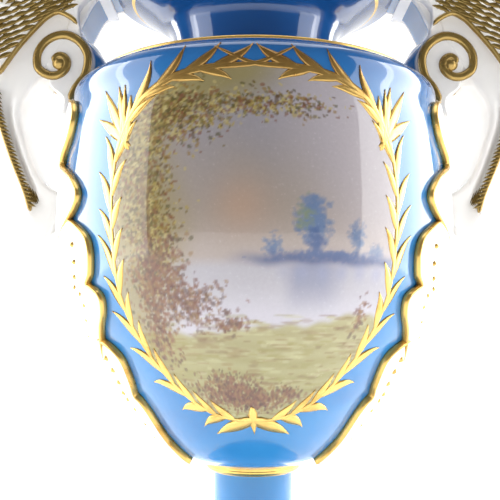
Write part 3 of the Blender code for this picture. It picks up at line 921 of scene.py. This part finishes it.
class VASE_OT_lid(bpy.types.Operator):
    """Turn the lid with its gilt bud finial"""

    bl_idname = "vase.lid"
    bl_label = "Lid"

    def execute(self, context):
        lines = Lines()
        lid = lines.lid
        crown = lines.lid_z + lid.edge + lid.dome

        def petals(turn, height):
            """Eight shallow petals on the bud, none below its neck."""
            share = np.clip((height - crown - 0.24 * lid.finial_height) / (0.2 * lid.finial_height), 0, 1)
            top = np.clip((crown + 0.97 * lid.finial_height - height) / (0.2 * lid.finial_height), 0, 1)
            return 1 - 0.10 * share * top * (1 - np.abs(np.cos(4 * turn)) ** 0.6)

        made = revolve("lid_cover", lines.lid_profile(), 192, petals)
        bands = [
            (crown - 0.0006, crown + 0.1, 0.0, 0.03),
            (lines.lid_z + 0.0006, lines.lid_z + lid.edge * 0.92, 0.050, 0.080),
            (lines.lid_z + lid.edge + 0.0036, lines.lid_z + lid.edge + 0.0044, 0.040, 0.080),
        ]
        finish_piece(made, glaze_finish("lid_celeste", bands, lines), "lid")
        return {"FINISHED"}


def handle_grids(lines):
    """The right handle's two strips of porcelain: the strap with its arch, and the scroll's back."""
    b, r, a = lines.by_body, lines.by_rim, lines.by_arch
    half = lines.handle.half
    strap_outer = [r(-1, -3.5), r(8, -2.5), a(1, -1), a(13, -1.5), a(23, -9), b(30, 14), b(30, 0),
                   b(28.5, -16), b(22.5, -34), b(16.7, -47.3), b(13.2, -58), b(6.5, -67)]
    strap_inner = [r(-2, -5.5), r(3, -6.5), r(7.5, -10), a(-3, -16.5), b(0, 14), b(4, 8), b(12, -4),
                   b(17.5, -15), b(15.2, -27), b(10.9, -38.5), b(6.0, -45), b(-3, -50)]
    scroll_outer = [r(-2, -5.5), r(1.5, -6.5), r(6, -10.5), r(9.5, -17), b(-5.6, 17.5), b(-8.2, 11.5),
                    b(-9.9, 6), b(-9.2, 0.5), b(-6.3, -5), b(-4, -11), b(-3.6, -17)]
    scroll_inner = [r(0, -4), r(6, -4), a(2, -8), a(8, -14), b(8, 17.5), b(8, 11), b(8, 6), b(7, 0),
                    b(6, -5), b(1.0, -9.5), b(1.5, -17)]

    def flute(along, across):
        """A hollow down the strap's face, deepest midway across, from under the volute to the strap's end."""
        length = np.clip((along - 0.5) / 0.12, 0, 1) * np.clip((0.97 - along) / 0.1, 0, 1)
        return 0.0016 * length * np.cos(np.clip(across, -1, 1) * math.pi / 2) ** 2

    def swell(along):
        """The curl's fullness towards the neck, greatest past its middle."""
        return 0.0046 * np.clip(1 - ((along - 0.60) / 0.20) ** 2, 0, 1)

    strap, strap_tint = band(
        strap_inner, strap_outer, half, 0.0016, 220, hollow=flute,
        blue=lambda along: (along < 0.30) * 1.0)
    scroll, scroll_tint = band(
        scroll_outer, scroll_inner, half - 0.0002, 0.0010, 120, bulge=swell,
        blue=lambda along: (along < 0.95) * 1.0)
    return strap, strap_tint, scroll, scroll_tint


class VASE_OT_handles(bpy.types.Operator):
    """Sweep the two scroll handles with their leaves and volutes"""

    bl_idname = "vase.handles"
    bl_label = "Handles"

    def execute(self, context):
        lines = Lines()
        h = lines.handle
        b, r, a = lines.by_body, lines.by_rim, lines.by_arch
        strap, strap_tint, scroll, scroll_tint = handle_grids(lines)
        white = porcelain_finish("white_porcelain", True)
        for name, grid, tint in (("handle_strap", strap, strap_tint), ("handle_scroll", scroll, scroll_tint)):
            made = tubes(name, mirrored(grid[None]), {"blue": np.concatenate([tint[None]] * 2)})
            finish_piece(made, white)

        centre = lines.volute()
        inner = 0.9 * h.volute_radius
        deep = np.linspace(-1, 1, 40)[:, None]
        turn = np.linspace(0, 2 * math.pi, 72, endpoint=False)[None, :]
        radius = inner + 0.0042 * (1 - deep**2) * np.clip(-np.cos(turn), 0, 1) + 0.0008 * (1 - deep**4)
        grid = np.stack([
            centre[0] + radius * np.cos(turn), (h.half - 0.0004) * deep * np.ones_like(turn),
            centre[1] + radius * np.sin(turn)], axis=-1)
        blue = (np.cos(turn) < 0.2) * (np.abs(deep) < 0.985) * 1.0
        made = tubes("volute_roll", mirrored(grid[None]), {"blue": np.concatenate([blue[None]] * 2)})
        finish_piece(made, white)

        low = [r(0.5, -8), r(7, -10), b(-5.5, 25), b(-5.2, 18.5), b(-3, 21.5), b(2.6, 23.8), b(7, 22),
               b(10.5, 18.5), b(14.5, 14.2), b(17.5, 10.3), b(20.5, 6), b(23.2, 2.2), b(25.0, -0.2),
               b(27, -2.5)]
        high = [r(1, -6), r(8, -4), a(-5, -0.5), a(1, 1), a(6, 1.5), a(10, 1.5), a(17, -1), a(22, -6),
                a(27, -9), a(29.5, -15.5), b(32, 14), b(31.3, 7), b(30, 1), b(27.6, -2.0)]

        def veins(along, across):
            """Shallow pleats that slant over the leaf, sharpest near its outer edge."""
            phase = 15 * along - 1.1 * across
            crest = 1 - np.abs(2 * (phase - np.floor(phase)) - 1)
            fade = np.clip(along * 6, 0, 1) * np.clip((1 - along) * 6, 0, 1)
            return 0.0008 * (crest - 0.6) * fade * np.clip(0.45 + 0.55 * across, 0, 1)

        leaf, _ = band(low, high, h.half + h.leaf_proud, 0.0028, 260, relief=veins, face=25)
        made = tubes("handle_leaf", mirrored(leaf[None]), {"blue": np.zeros((2, *leaf.shape[:2]))})
        finish_piece(made, white)
        return {"FINISHED"}


def face_chart(depth):
    """A chart of the handle's front face: x, z and the lift off it. The other faces are copies."""
    def chart(x, z, lift):
        return np.stack([x, -(depth + lift), z], axis=-1)
    return chart


def four_ways(grids):
    """The grids on the right handle's front face, its back face, and the same on the left handle."""
    grids = np.concatenate([grids, grids * np.array([1.0, -1.0, 1.0])])
    return mirrored(grids)


def gild_scroll(lines, gilt):
    """The scroll's raised line, which stops short of the tail, and the round eye in its middle."""
    h = lines.handle
    centre = lines.volute()
    count, skipped = 160, 18
    path = smooth(centre + h.volute_radius * np.array(SCROLL_LINE), count)[skipped:]
    places = np.linspace(0, 1, count)[skipped:]
    width = np.interp(places, [0, 0.1, 0.5, 0.9, 1], [0.5, 1.3, 1.6, 1.5, 1.3])
    ridge = cords(path[None], width * h.ridge, face_chart(h.half - 0.0001), 0.0012, 0.0008)
    finish_piece(tubes("scroll_ridge", four_ways(ridge)), gilt)

    turn = np.linspace(0, 2 * math.pi, 28, endpoint=False)[None, :]
    rise = np.linspace(0.02, 1, 10)[:, None]
    eye_x, eye_z = centre + h.volute_radius * np.array(SCROLL_EYE)
    radius = EYE_RADIUS * np.cos((1 - rise) * math.pi / 2) ** 0.7
    proud = h.half - 0.0008 + 0.0024 * (1 - (radius / EYE_RADIUS) ** 2)
    eye = np.stack([eye_x + radius * np.cos(turn), -proud + 0 * turn, eye_z + radius * np.sin(turn)], axis=-1)
    finish_piece(tubes("scroll_eyes", four_ways(eye[None])), gilt)


def gild_leaf(lines, gilt, shade):
    """The leaf's gilt lower edge, the rows of short strokes over it, and the ticks along its outer edge."""
    h = lines.handle
    b, a = lines.by_body, lines.by_arch
    edge = smooth([b(-4.6, 19.5), b(-2.6, 21.8), b(2.6, 24.2), b(7, 22.4), b(10.8, 18.8), b(17.8, 10.6),
                   b(23.4, 2.6), b(25.6, -0.8)], 90)
    lip = cords(edge[None], 0.0010, face_chart(h.half + h.leaf_proud - 0.0008), 0.0013, 0.0012)
    finish_piece(tubes("leaf_edges", four_ways(lip)), gilt)

    on_leaf = face_chart(h.half + h.leaf_proud - 0.0001)
    rows = [(-2, 27.2), (2, 27), (5, 26.5), (8, 24.4), (11, 22), (14.5, 18.5), (18, 14.6), (20.6, 11.4),
            (23.2, 7.4)]
    lanes = 7
    start = np.array([b(out - 3 + 1.15 * lane, up + 1.9 * lane) for out, up in rows for lane in range(lanes)])
    long = np.tile(8.0 - 0.4 * np.arange(lanes), len(rows))[:, None] * MM
    hatch = blades(start, start + long * (0.55, -0.06), start + long * (1.0, -0.5),
                   np.full(len(start), 0.0011), on_leaf, 0.0004)
    edge = smooth([a(12, -1.5), a(20, -6.5), a(26, -12), b(30, 20), b(29.8, 10), b(27.6, 1.5)], 26)
    way, side = headings(edge)
    ticks = blades(edge - 1.2 * MM * side, edge + 0.4 * MM * way, edge + 1.6 * MM * (side + way) / 2,
                   np.full(len(edge), 0.0008), on_leaf, 0.0004)
    finish_piece(tubes("leaf_hatching", four_ways(np.concatenate([hatch, ticks]))), shade)


def gild_strap(lines, gilt, shade):
    """The strap's gilt outer edge with slanting ticks across it, and the long strokes at its end."""
    h = lines.handle
    b = lines.by_body
    edge = smooth([b(27.6, -5), b(26.4, -16), b(20.6, -33), b(14.8, -47), b(12.2, -55)], 120)
    rope = cords(edge[None], 0.00095, face_chart(h.half - 0.0001), 0.0008)
    finish_piece(tubes("strap_edges", four_ways(rope)), gilt)

    place = edge[4:-6:4]
    way, side = headings(place)
    ticks = blades(place - 0.4 * MM * (side + way), place + 0.7 * MM * (side + way),
                   place + (2.6 * side + 2.2 * way) * MM, np.full(len(place), 0.0007),
                   face_chart(h.half + 0.0005), 0.0004, root=0.0006)
    start = np.array([b(15.6 - 1.15 * k, -43 - 1.0 * k) for k in range(5)])
    reach = np.array([-6.4, -15.5]) * MM
    bend = start + np.array([-3.2, -7.5]) * MM
    long = blades(start, bend, start + reach, np.full(len(start), 0.00045),
                  face_chart(h.half - 0.0012), 0.0003, root=0.0009)
    finish_piece(tubes("strap_hatching", four_ways(np.concatenate([ticks, long]))), shade)


class VASE_OT_handle_gilding(bpy.types.Operator):
    """Lay the gilt scroll ridges, leaf edges and hatching on the handles"""

    bl_idname = "vase.handle_gilding"
    bl_label = "Handle Gilding"

    def execute(self, context):
        lines = Lines()
        colours = context.scene.vase_colours
        gilt = gilt_finish("handle_gilt", 0.25, colours.gilt_olive)
        shade = gilt_finish("hatched_gilt", 0.4, colours.hatch_olive)
        gild_scroll(lines, gilt)
        gild_leaf(lines, gilt, shade)
        gild_strap(lines, gilt, shade)
        return {"FINISHED"}


def husk_dots(lines, height, wide, relief):
    """Two rows of round gilt dots up a husk, one on each side of it, each dot a low dome."""
    places = np.linspace(0, 1, len(height))
    up = np.linspace(0.16, 0.78, 8)
    middle = np.interp(up, places, height)
    reach = 0.80 * np.interp(up, places, wide)
    turn = np.linspace(0, 2 * math.pi, 10, endpoint=False)[None, None, :]
    ring = np.sqrt(np.linspace(0.02, 1, 5))[None, :, None]
    place = np.concatenate([np.stack([sign * reach, middle], axis=-1) for sign in (-1, 1)])
    arc = place[:, 0, None, None] + DOT_RADIUS * ring * np.cos(turn)
    rise = place[:, 1, None, None] + DOT_RADIUS * ring * np.sin(turn)
    bead = 13 / 18 * relief * (1 - ring**2) + 0.0010 + 0 * arc
    return lines.on_bowl(arc + lines.radius * math.pi / 2, rise, bead + 0.55 * relief)


class VASE_OT_husks(bpy.types.Operator):
    """Model the three overlapping leaf husks under each handle"""

    bl_idname = "vase.husks"
    bl_label = "Leaf Husks"

    def execute(self, context):
        lines = Lines()
        relief = lines.handle.husk_relief
        white = porcelain_finish("husk_porcelain", False)
        gilt = gilt_finish("husk_gilt", 0.15)
        rows, columns = 90, 41
        flank = lines.radius * math.pi / 2
        for number, table in enumerate(HUSKS, 1):
            table = matched(table, rows)
            height = (lines.body_z + table[:, 0] * lines.sizes.body_height)[:, None]
            wide = np.radians(table[:, 1])[:, None] * lines.radius
            along = np.linspace(0, 1, rows)[:, None]
            across = np.linspace(-1, 1, columns)[None, :]
            under = np.linspace(1, -1, 9)[None, 1:-1]
            crown = 0.45 * relief * np.cos(across * math.pi / 2)
            edge = np.sqrt(np.clip(1 - np.clip((np.abs(across) - 0.90) / 0.10, 0, 1) ** 2, 0, 1))
            lift = (relief * (1 + 0.7 * along**2) + crown) * edge
            pleat = 0.0005 * np.cos(across * 9) * np.sin(np.pi * along) * (np.abs(across) < 0.95)
            front = lines.on_bowl(across * wide + flank, height + 0 * across, lift + pleat)
            back = lines.on_bowl(under * wide + flank, height + 0 * under, -0.001 + 0 * under * height)
            grid = np.concatenate([front, back], axis=1)
            made = tubes(f"husk_{number}", mirrored(grid[None]))
            finish_piece(made, white)

            def chart(arc, up, rise):
                return lines.on_bowl(arc + flank, up, rise + 0.55 * relief)

            path = np.column_stack([wide[:, 0], height[:, 0]])
            edges = cords(np.stack([path, path * (-1, 1)]), 0.0008, chart, 0.0016, 0.0012)
            finish_piece(tubes(f"husk_edge_{number}", mirrored(edges)), gilt)
            if number > 1:
                dots = husk_dots(lines, height[:, 0], wide[:, 0], relief)
                finish_piece(tubes(f"husk_dots_{number}", mirrored(dots)), gilt)
        return {"FINISHED"}


def oval(lines, angle):
    """The medallion's outline as arc and height: a squared oval, squarer above its middle than below."""
    power = np.where(np.sin(angle) > 0, OVAL_TOP, OVAL_LOW)
    cos, sin = np.cos(angle), np.sin(angle)
    radius = (np.abs(cos) ** power + np.abs(sin) ** power) ** (-1 / power)
    height = lines.body_z + OVAL_MIDDLE + OVAL_TALL * radius * sin
    return np.stack([OVAL_WIDE * radius * cos, height], axis=-1)


def dab(colour, x, z, paint, x0, z0, wide, tall, strength, tilt=0.0):
    """A soft brush mark: a tilted ellipse of colour with a firm middle laid over the paint."""
    c, s = math.cos(tilt), math.sin(tilt)
    u = ((x - x0) * c + (z - z0) * s) / wide
    v = (-(x - x0) * s + (z - z0) * c) / tall
    mask = np.clip(1.6 - 1.6 * (u * u + v * v), 0, 1) * strength
    np.add(paint, mask[..., None] * (np.array(colour) - paint), out=paint)


def soft(value, low, high):
    """Nought at low, one at high, with a smooth rise."""
    t = np.clip((value - low) / (high - low), 0, 1)
    return t * t * (3 - 2 * t)


def over(paint, mask, colour):
    """The colour laid over the paint by the mask's share."""
    return paint + mask[..., None] * (np.array(colour) - paint)


def sky_and_water(x, z):
    """A grey evening sky with a low glow, and pale still water under it."""
    ripple = np.sin(x * 0.31 + 0.7 * np.sin(z * 0.23)) * 0.5 + np.sin(z * 0.21 + x * 0.09) * 0.5
    paint = np.ones((*x.shape, 3)) * np.array(linear(160, 148, 137))
    paint = over(paint, soft(z + 3 * ripple, 5, 50), linear(150, 146, 154))
    paint = over(paint, soft(x + 0.4 * z, 10, 46) * 0.7, linear(184, 176, 182))
    paint = over(paint, soft(-z, -14, 4) * 0.7, linear(190, 176, 170))
    glow = np.exp(-(((x + 4) / 9) ** 2 + ((z - 12) / 9) ** 2))
    paint = over(paint, 0.4 * glow, linear(196, 154, 124))
    paint = over(paint, soft(-z, 3.0, 8.0), linear(184, 180, 188))
    paint = over(paint, soft(-z, 10, 24), linear(200, 196, 206))
    mirrored_trees = 0.8 * soft(x, 8, 15) * soft(-x, -34, -22) * soft(-z, 5, 8) * soft(z, -24, -10)
    return over(paint, mirrored_trees, linear(136, 140, 166))


def far_bank(paint, x, z, source):
    """The misty blue trees across the water, each a cluster of small marks, and their bank."""
    def clump(x0, z0, wide, tall, colour, count, size, strength):
        places = source.normal(size=(count, 2)) * (wide / 2.2, tall / 2.2) + (x0, z0)
        for px, pz in places:
            grow = size * source.uniform(0.6, 1.3)
            dab(colour, x, z, paint, px, pz, grow, grow * source.uniform(0.5, 0.9), strength,
                source.uniform(-0.8, 0.8))

    far = linear(104, 124, 158)
    clump(6.5, -0.5, 3.4, 4.6, far, 90, 0.9, 0.4)
    clump(19, 7.5, 6.0, 6.5, far, 330, 1.15, 0.4)
    clump(18.5, 12.5, 3.6, 3.4, far, 110, 1.0, 0.35)
    clump(16, 9.0, 3.0, 5.0, linear(128, 140, 112), 70, 1.0, 0.3)
    clump(20, 0.5, 3.0, 4.6, linear(76, 98, 144), 130, 0.95, 0.35)
    clump(35, 2.4, 3.0, 5.4, far, 130, 1.0, 0.38)
    clump(43, -1.5, 4.0, 3.0, far, 90, 0.9, 0.3)
    clump(24, -3.2, 17, 1.6, linear(84, 104, 148), 240, 1.0, 0.4)
    bank = soft(x, -12, 8) * np.exp(-(((z + 4.6 + 0.4 * np.sin(x * 0.4)) / 1.9) ** 2))
    paint = over(paint, 0.9 * bank, linear(70, 88, 136))
    low = soft(x, 2, 14) * np.exp(-(((z + 8.5) / 2.6) ** 2)) * (0.6 + 0.4 * np.sin(x * 0.9))
    return over(paint, 0.45 * low, linear(150, 156, 190))


def near_meadow(paint, x, z, source):
    """The banded grass of the near shore, with long low marks of green, brown and straw."""
    shore = -26.5 + 1.6 * np.sin(x * 0.07 + 0.6) + 0.5 * np.sin(x * 0.6) + 5.5 * soft(x, 18, 40)
    meadow = soft(shore - z, -1.2, 1.6)
    grass = np.ones_like(paint) * np.array(linear(166, 158, 112))
    grass = over(grass, soft(-z, 20, 46), linear(156, 150, 96))
    stripe = 0.5 + 0.5 * np.sin(z * 1.25 + 1.4 * np.sin(x * 0.11) + 0.5)
    grass = over(grass, 0.35 * stripe, linear(186, 180, 134))
    paint = paint + meadow[..., None] * (grass - paint)
    tones = [linear(150, 142, 80), linear(126, 92, 60), linear(194, 188, 142), linear(140, 112, 70)]
    for _ in range(480):
        px, pz = source.uniform(-46, 44), source.uniform(-56, -22)
        tone = tones[source.integers(len(tones))]
        dab(tone, x, z, paint, px, pz, source.uniform(1.2, 5), source.uniform(0.3, 0.75), 0.45)
    return paint


def scatter(paint, x, z, source, tones, masses, spread, slim, small, strength):
    """Leaf marks in clusters; each mass is its middle, its width and height, and its number of leaves."""
    for x0, z0, wide, tall, count in masses:
        places = source.normal(size=(count, 2)) * (wide / spread, tall / spread) + (x0, z0)
        for px, pz in places:
            tone = tones[source.integers(len(tones))]
            grow = source.uniform(small, 1.15)
            dab(tone, x, z, paint, px, pz, grow, grow * source.uniform(*slim), strength,
                source.uniform(-1.2, 1.2))


def near_trees(paint, x, z, source):
    """The olive tree down the left side with its overhanging branch, and the russet shrubs below."""
    shade = soft(-x - 0.25 * np.abs(z - 5), 14, 34) + soft(z - 0.35 * x, 40, 56) * soft(-x, -22, 4)
    paint = over(paint, 0.78 * np.clip(shade, 0, 1), linear(146, 132, 66))
    leaves = [linear(112, 98, 44), linear(140, 110, 52), linear(92, 68, 40), linear(124, 78, 54),
              linear(164, 146, 80), linear(82, 76, 38), linear(184, 170, 112)]
    masses = [(-40, 28, 12, 30, 1300), (-33, 46, 15, 10, 600), (-24, 41, 16, 9, 520), (-36, 2, 11, 20, 900),
              (-6, 45, 20, 4.5, 300), (12, 44, 14, 4, 190)]
    scatter(paint, x, z, source, leaves, masses, 1.9, (0.4, 0.75), 0.45, 0.7)
    reach = soft(z, -18, -6) * soft(-z, -34, -18)
    for shift, wide in ((0.0, 1.0), (1.8, 0.45)):
        trunk = np.exp(-(((x + 37 - shift + 0.05 * (z - 5)) / wide) ** 2)) * reach
        paint = over(paint, 0.6 * trunk, linear(122, 92, 66))
    shrubs = [linear(112, 66, 48), linear(134, 86, 60), linear(86, 52, 40), linear(144, 110, 64)]
    masses = [(-33, -10, 11, 12, 560), (-22, -18, 12, 7, 380), (-36, -28, 7, 12, 260), (-9, -25, 9, 3, 120),
              (-12, -47, 14, 6, 620), (2, -50, 13, 4, 460), (17, -48, 7, 3, 120), (40, -22, 3, 6, 60)]
    scatter(paint, x, z, source, shrubs, masses, 2.0, (0.5, 0.9), 0.5, 0.6)
    return paint


def landscape(x, z):
    """A made-up lakeside view: a colour for each place, in millimetres from the medallion's middle."""
    source = np.random.default_rng(7)
    paint = sky_and_water(x, z)
    for layer in (far_bank, near_meadow, near_trees):
        paint = layer(paint, x, z, source)
    return np.clip(paint, 0, 1)


class VASE_OT_medallion(bpy.types.Operator):
    """Lay the painted medallion over the front of the bowl"""

    bl_idname = "vase.medallion"
    bl_label = "Painted Medallion"

    def execute(self, context):
        lines = Lines()
        rows, columns = 330, 231
        angle = np.linspace(math.pi / 2 - 1e-3, -math.pi / 2 + 1e-3, rows)
        side = oval(lines, angle)
        across = np.linspace(-1, 1, columns)[None, :]
        under = np.linspace(1, -1, 14)[None, 1:-1]
        arc = np.concatenate([across * side[:, :1], under * side[:, :1]], axis=1)
        height = side[:, 1:] + 0 * arc
        rim = np.clip((1 - np.abs(across)) / 0.012, 0, 1) ** 0.5 + 0 * side[:, :1]
        end = np.clip(np.minimum(np.arange(rows), rows - 1 - np.arange(rows)) / 3.0, 0, 1)[:, None]
        buried = np.full((rows, under.shape[1]), -0.0005)
        lift = np.concatenate([0.00022 * rim * end - 0.0001, buried], axis=1)
        grid = lines.on_bowl(arc, height, lift)
        paint = np.ones((*arc.shape, 3)) * 0.5
        middle = lines.body_z + OVAL_MIDDLE
        paint[:, :columns] = landscape(arc[:, :columns] / MM, (height[:, :columns] - middle) / MM)
        made = tubes("medallion", grid, {"paint": paint})
        finish_piece(made, painting_finish("painted_medallion"))
        return {"FINISHED"}


def wreath_strokes(lines, fronds, seed, turn=0.0):
    """The gilt wreath round the medallion: two stems that follow the oval and cross at its top and bottom.

    Curled fronds leave both sides of each stem; at the upper corners they open into a palm, and a knot with
    two pairs of tails ties the stems at the bottom.
    """
    source = np.random.default_rng(seed)

    def chart(arc, height, lift):
        return lines.on_bowl(arc + turn * lines.radius, height, lift + 0.00012)

    angle = np.linspace(math.radians(-93), math.radians(84), 120)
    stem = oval(lines, angle)
    arm = smooth([stem[-1], (-0.002, lines.body_z + 0.1370), (-0.0135, lines.body_z + 0.1425)], 16)[1:]
    stem = np.vstack([stem, arm])
    stems = np.array([stem, stem * (-1, 1)])
    places = np.linspace(0, 1, len(stem))
    swell = np.interp(places, [0, 0.25, 0.6, 0.75, 0.88, 1], [0.5, 0.75, 0.9, 1.5, 1.05, 0.4]) * MM
    cord = cords(stems, swell, chart, 0.0003, 0.0003)
    start, bend, end, half = [], [], [], []

    def frond(base, way, normal, out, long, spread, wide, side):
        """One curled leaf that leaves the stem along it and turns outwards to its tip."""
        mark = np.array([side, 1])
        start.append((base - way * long * 0.12) * mark)
        bend.append((base + way * long * 0.52 + normal * out * long * 0.10) * mark)
        end.append((base + way * long * (1 - 0.35 * spread) + normal * out * long * spread) * mark)
        half.append(wide)

    for side in (-1, 1):
        for k in range(fronds):
            share = (k + 0.5) / fronds
            corner = math.exp(-(((share - 0.72) / 0.07) ** 2))
            for out in (1, -1):
                angle = math.radians(-80 + 158 * (share + 0.25 * out / fronds))
                base = oval(lines, np.array(angle))
                ahead = oval(lines, np.array(angle + 0.05))
                way = (ahead - base) / np.linalg.norm(ahead - base)
                normal = np.array([way[1], -way[0]])
                long = source.uniform(0.0140, 0.0170) * (1.0 if out > 0 else 0.78) * (1 + 0.3 * corner)
                frond(base, way, normal, out, long, 0.44 - 0.1 * corner, source.uniform(0.0015, 0.0019), side)
        corner = oval(lines, np.array(math.radians(40)))
        for tilt, long in ((0.05, 0.022), (0.42, 0.026), (0.85, 0.021), (-0.35, 0.017)):
            way = np.array([math.sin(tilt) * 0.8, math.cos(tilt)])
            normal = np.array([way[1], -way[0]])
            frond(corner - (0.0, 0.007), way, normal, 1, long, 0.24, 0.0021, side)
        foot = lines.body_z + 0.0205
        for start_x, tip, up, wide in ((-0.004, 0.0225, -0.0046, 0.0023), (-0.001, 0.0125, -0.0008, 0.0018)):
            start.append(np.array([start_x, foot + 0.001]) * (side, 1))
            bend.append(np.array([0.5 * tip, foot + 0.2 * up]) * (side, 1))
            end.append(np.array([tip, foot + up]) * (side, 1))
            half.append(wide)
    start.append(np.array([-0.0008, foot + 0.0055]))
    bend.append(np.array([0.0, foot + 0.001]))
    end.append(np.array([0.0008, foot - 0.0045]))
    half.append(0.0026)
    leaf = blades(start, bend, end, half, chart, 0.0003)
    return cord, leaf


class VASE_OT_wreath(bpy.types.Operator):
    """Lay the gilt leaf wreaths on the front and the back of the bowl"""

    bl_idname = "vase.wreath"
    bl_label = "Gilt Wreaths"

    def execute(self, context):
        lines = Lines()
        # The wreath's gilt carries a painted dark reflection, browner up towards the shoulder
        gilt = gilt_finish("wreath_gilt", top=lines.shoulder_z - 0.013)
        for name, turn, seed in (("front", 0.0, 3), ("back", math.pi, 5)):
            cord, leaf = wreath_strokes(lines, 15, seed, turn)
            finish_piece(tubes(f"wreath_stems_{name}", cord), gilt)
            finish_piece(tubes(f"wreath_leaves_{name}", leaf), gilt)
        return {"FINISHED"}


def lay_floor(half):
    """A pale paper floor, a little bright of itself so that it stays white as far as it goes."""
    mesh = bpy.data.meshes.new("floor")
    corners = [(-half, -half, 0), (half, -half, 0), (half, half, 0), (-half, half, 0)]
    mesh.from_pydata(corners, [], [(0, 1, 2, 3)])
    floor = bpy.data.objects.new("floor", mesh)
    bpy.context.scene.collection.objects.link(floor)
    recipe = Recipe("floor_paper")
    grain = recipe.noise(recipe.place(), 40.0)
    recipe.set(Base_Color=recipe.mix(grain, (0.93, 0.93, 0.93, 1), (0.96, 0.96, 0.96, 1)), Roughness=0.9)
    recipe.set(Emission_Color=(1, 1, 1, 1), Emission_Strength=0.45)
    floor.data.materials.append(recipe.material)


def softbox(name, place, aim, size, power):
    """A large flat lamp at place, turned to face aim."""
    data = bpy.data.lights.new(name, "AREA")
    data.shape = "RECTANGLE"
    data.size, data.size_y = size
    data.energy = power
    lamp = bpy.data.objects.new(name, data)
    lamp.location = place
    lamp.rotation_euler = (Vector(aim) - Vector(place)).to_track_quat("-Z", "Y").to_euler()
    bpy.context.scene.collection.objects.link(lamp)


def hang_lights():
    """On each side a bright lamp from behind and a weak one from in front, and one lamp above."""
    for side, where in ((-1, "left"), (1, "right")):
        for name, azimuth, wide, power in (("bright", 110, 1.0, 19.0), ("soft", 74, 0.5, 5.5)):
            turn = math.radians(azimuth)
            place = (side * math.sin(turn), -math.cos(turn), 0.30)
            softbox(f"{name}_light_{where}", place, (0, 0, 0.17), (wide, 1.1), power)
    softbox("top_light", (0, 0.1, 1.5), (0, 0, 0), (1.2, 1.2), 10.0)


def light_world(scene):
    """White paper to the camera; to everything else, light that grows from dim in front to full behind."""
    world = bpy.data.worlds.new("studio")
    world.use_nodes = True
    scene.world = world
    tree = world.node_tree
    around = tree.nodes.new("ShaderNodeTexCoord")
    split = tree.nodes.new("ShaderNodeSeparateXYZ")
    reach = tree.nodes.new("ShaderNodeMapRange")
    reach.interpolation_type = "SMOOTHSTEP"
    for key, value in (("From Min", -0.35), ("From Max", 0.85), ("To Min", 0.14), ("To Max", 1.15)):
        reach.inputs[key].default_value = value
    ground = tree.nodes["Background"]
    ground.inputs["Color"].default_value = (1, 1, 1, 1)
    paper = tree.nodes.new("ShaderNodeBackground")
    paper.inputs["Color"].default_value = (1, 1, 1, 1)
    paper.inputs["Strength"].default_value = 1.3
    path = tree.nodes.new("ShaderNodeLightPath")
    blend = tree.nodes.new("ShaderNodeMixShader")
    tree.links.new(around.outputs["Generated"], split.inputs[0])
    tree.links.new(split.outputs["Y"], reach.inputs["Value"])
    tree.links.new(reach.outputs[0], ground.inputs["Strength"])
    tree.links.new(path.outputs["Is Camera Ray"], blend.inputs[0])
    tree.links.new(ground.outputs[0], blend.inputs[1])
    tree.links.new(paper.outputs[0], blend.inputs[2])
    tree.links.new(blend.outputs[0], tree.nodes["World Output"].inputs["Surface"])


def set_camera(scene):
    """The camera at the photo's angle."""
    settings = scene.vase_stage
    data = bpy.data.cameras.new("camera")
    data.lens = settings.lens
    data.sensor_width = 36.0
    data.clip_start = 0.02
    camera = bpy.data.objects.new("camera", data)
    scene.collection.objects.link(camera)
    yaw = Matrix.Rotation(math.radians(CAMERA_YAW), 4, "Z")
    pitch = Matrix.Rotation(math.radians(CAMERA_PITCH), 4, "X")
    roll = Matrix.Rotation(math.radians(CAMERA_ROLL), 4, "Z")
    place = Matrix.Translation((0, -settings.distance, settings.height))
    camera.matrix_world = place @ (yaw @ pitch @ roll)
    scene.camera = camera


class VASE_OT_stage(bpy.types.Operator):
    """Set the pale floor, the soft studio light and the camera"""

    bl_idname = "vase.stage"
    bl_label = "Stage"

    def execute(self, context):
        scene = context.scene
        lay_floor(scene.vase_stage.floor)
        hang_lights()
        light_world(scene)
        set_camera(scene)
        scene.view_settings.view_transform = "Standard"
        return {"FINISHED"}


class VASE_PT_panel(bpy.types.Panel):
    """The vase's builders and sizes"""

    bl_idname = "VASE_PT_panel"
    bl_label = "Porcelain Vase"
    bl_space_type = "VIEW_3D"
    bl_region_type = "UI"
    bl_category = "Vase"

    def draw(self, context):
        for operator in OPERATORS:
            self.layout.operator(operator.bl_idname)
        for name in ("vase_sizes", "lid_sizes", "handle_sizes", "vase_colours", "vase_stage"):
            group = getattr(context.scene, name)
            column = self.layout.column()
            for key in group.bl_rna.properties.keys():
                if key not in ("rna_type", "name"):
                    column.prop(group, key)


GROUPS = {
    "vase_sizes": VaseSizes,
    "lid_sizes": LidSizes,
    "handle_sizes": HandleSizes,
    "vase_colours": VaseColours,
    "vase_stage": StageSettings,
}
OPERATORS = (
    VASE_OT_body,
    VASE_OT_lid,
    VASE_OT_handles,
    VASE_OT_handle_gilding,
    VASE_OT_husks,
    VASE_OT_medallion,
    VASE_OT_wreath,
    VASE_OT_stage,
)


def register():
    for name, group in GROUPS.items():
        bpy.utils.register_class(group)
        setattr(bpy.types.Scene, name, bpy.props.PointerProperty(type=group))
    for operator in OPERATORS:
        bpy.utils.register_class(operator)
    bpy.utils.register_class(VASE_PT_panel)


def unregister():
    bpy.utils.unregister_class(VASE_PT_panel)
    for operator in reversed(OPERATORS):
        bpy.utils.unregister_class(operator)
    for name, group in reversed(GROUPS.items()):
        delattr(bpy.types.Scene, name)
        bpy.utils.unregister_class(group)


def main():
    register()
    bpy.ops.vase.body()
    bpy.ops.vase.lid()
    bpy.ops.vase.handles()
    bpy.ops.vase.handle_gilding()
    bpy.ops.vase.husks()
    bpy.ops.vase.medallion()
    bpy.ops.vase.wreath()
    bpy.ops.vase.stage()


if __name__ == "__main__":
    main()
